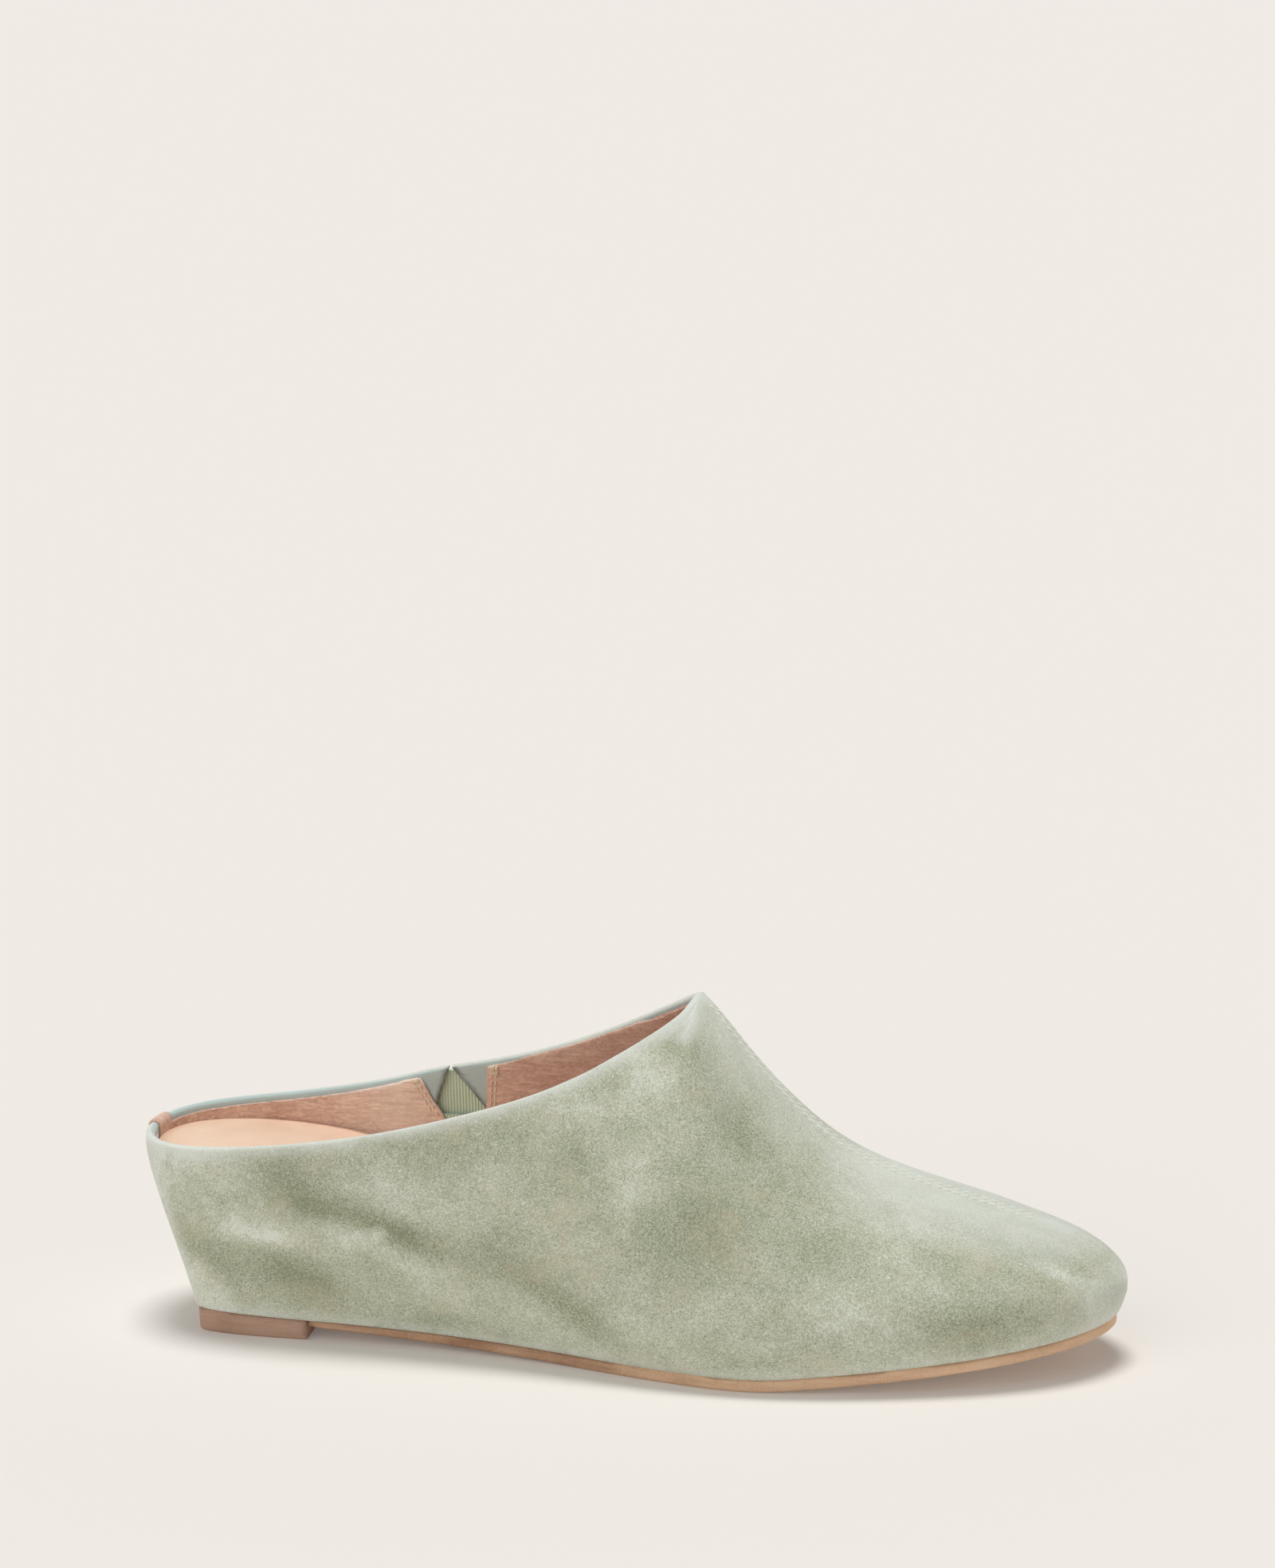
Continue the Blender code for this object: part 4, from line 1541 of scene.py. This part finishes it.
@dataclass
class Studio:
    """Camera, lights and floor."""

    target: Point = (95.76 * MM, 0.0, 35.35 * MM)
    distance: float = 1.093
    azimuth: float = 9.5
    elevation: float = 17.0
    lens: float = 100.0
    image_height: float = 1968.0
    target_drop: float = 516.0
    floor_size: float = 90.0
    zenith: Colour = (0.16, 0.162, 0.166)
    horizon: Colour = srgb(237, 233, 228)
    sun_strength: float = 2.0
    sun_turn: Point = (-6.0, -2.0, 0.0)
    sun_width: float = 20.0
    fill_strength: float = 0.55
    fill_turn: Point = (52.0, 0.0, -32.0)
    fill_width: float = 50.0

    def build(self) -> None:
        """Sets up the whole studio."""
        self.place_camera()
        self.light()
        self.lay_floor()

    def place_camera(self) -> None:
        """Puts the camera where the photograph was taken from."""
        turn, rise = math.radians(self.azimuth), math.radians(self.elevation)
        back = Vector((math.sin(turn) * math.cos(rise), -math.cos(turn) * math.cos(rise), math.sin(rise)))
        pixels = self.lens / 36.0 * self.image_height
        pitch = rise - math.atan(self.target_drop / pixels)
        forward = Vector((-math.sin(turn) * math.cos(pitch), math.cos(turn) * math.cos(pitch), -math.sin(pitch)))
        data = bpy.data.cameras.new("studio_camera")
        data.lens = self.lens
        data.sensor_width = 36.0
        data.clip_start, data.clip_end = 0.05, 200.0
        camera = bpy.data.objects.new("studio_camera", data)
        bpy.context.scene.collection.objects.link(camera)
        camera.location = Vector(self.target) + back * self.distance
        camera.rotation_euler = forward.to_track_quat("-Z", "Y").to_euler()
        bpy.context.scene.camera = camera

    def light(self) -> None:
        """Soft sky and one broad light from above."""
        scene = bpy.context.scene
        world = bpy.data.worlds.new("studio_sky")
        scene.world = world
        world.use_nodes = True
        nodes, links = world.node_tree.nodes, world.node_tree.links
        direction = nodes.new("ShaderNodeTexCoord")
        parts = nodes.new("ShaderNodeSeparateXYZ")
        height = nodes.new("ShaderNodeMapRange")
        height.interpolation_type = "SMOOTHSTEP"
        height.inputs["From Min"].default_value, height.inputs["From Max"].default_value = 0.30, 0.56
        fade = nodes.new("ShaderNodeMix")
        fade.data_type = "RGBA"
        fade.inputs[6].default_value, fade.inputs[7].default_value = (*self.horizon, 1.0), (*self.zenith, 1.0)
        links.new(direction.outputs["Generated"], parts.inputs[0])
        links.new(parts.outputs["Z"], height.inputs["Value"])
        links.new(height.outputs[0], fade.inputs[0])
        links.new(fade.outputs[2], nodes["Background"].inputs["Color"])
        self.shine("top_light", self.sun_strength, self.sun_turn, self.sun_width)
        self.shine("fill_light", self.fill_strength, self.fill_turn, self.fill_width)
        scene.view_settings.view_transform = "Standard"
        scene.view_settings.look = "None"

    @staticmethod
    def shine(name: str, strength: float, turn: Point, width: float) -> None:
        """Adds one far, broad light.

        Args:
            name: Name of the light.
            strength: Its strength.
            turn: Its turn in degrees; unturned it shines straight down.
            width: How wide it looks from the shoe, in degrees.
        """
        data = bpy.data.lights.new(name, "SUN")
        data.energy = strength
        data.angle = math.radians(width)
        data.color = (1.0, 0.992, 0.978)
        lamp = bpy.data.objects.new(name, data)
        lamp.rotation_euler = tuple(math.radians(angle) for angle in turn)
        bpy.context.scene.collection.objects.link(lamp)

    def lay_floor(self) -> None:
        """Pale floor that runs to the horizon."""
        bpy.ops.object.select_all(action="DESELECT")
        bpy.ops.mesh.primitive_grid_add(x_subdivisions=6, y_subdivisions=6, size=self.floor_size)
        floor = bpy.context.object
        floor.name = floor.data.name = "studio_floor"
        floor.data.materials.append(Paper().make())


def main() -> None:
    """Builds every sub-assembly in order."""
    logging.basicConfig(level=logging.INFO, format="%(message)s")
    Studio().build()
    upper = Upper()
    skin = upper.build()
    elastic = Elastic().make()
    upper.dress(skin, Suede().make(), elastic)
    rose = Lining().make()
    lining = LiningPart()
    leather = lining.build()
    lining.dress(leather, rose)
    tab = BackTab()
    tab.dress(tab.build(skin), rose)
    insole = Insole()
    insole.dress(insole.build(), Footbed().make())
    sole = Sole()
    # The last number is the strength of the tan sole's painted shade towards the heel.
    tan = SoleLeather("tan_sole", srgb(160, 122, 96), srgb(216, 180, 148), srgb(234, 204, 176), 0.3)
    lift = SoleLeather("brown_lift", srgb(142, 110, 92), srgb(182, 148, 128), srgb(204, 174, 154))
    sole.dress(sole.build("outsole", "tan_outsole"), tan.make(), "outsole")
    sole.dress(sole.build("heel_lift", "tan_heel_lift"), lift.make(), "heel_lift")
    for node, finish in (("gore", elastic), ("wedge", Cork().make())):
        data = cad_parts[node].data
        data.materials.clear()
        data.materials.append(finish)
    pale = Thread("pale_thread", srgb(222, 227, 208), srgb(252, 252, 244))
    thread = pale.make()
    Bench.dress(VampSeam().build(upper, skin), thread, "upper")
    Bench.dress(GoreStitches().build(upper, skin), thread, "upper")
    tan_thread = Thread("tan_thread", srgb(226, 200, 168), srgb(255, 246, 226))
    Bench.dress(FlapStitches().build(lining, leather), tan_thread.make(), "insole")


if __name__ == "__main__":
    main()
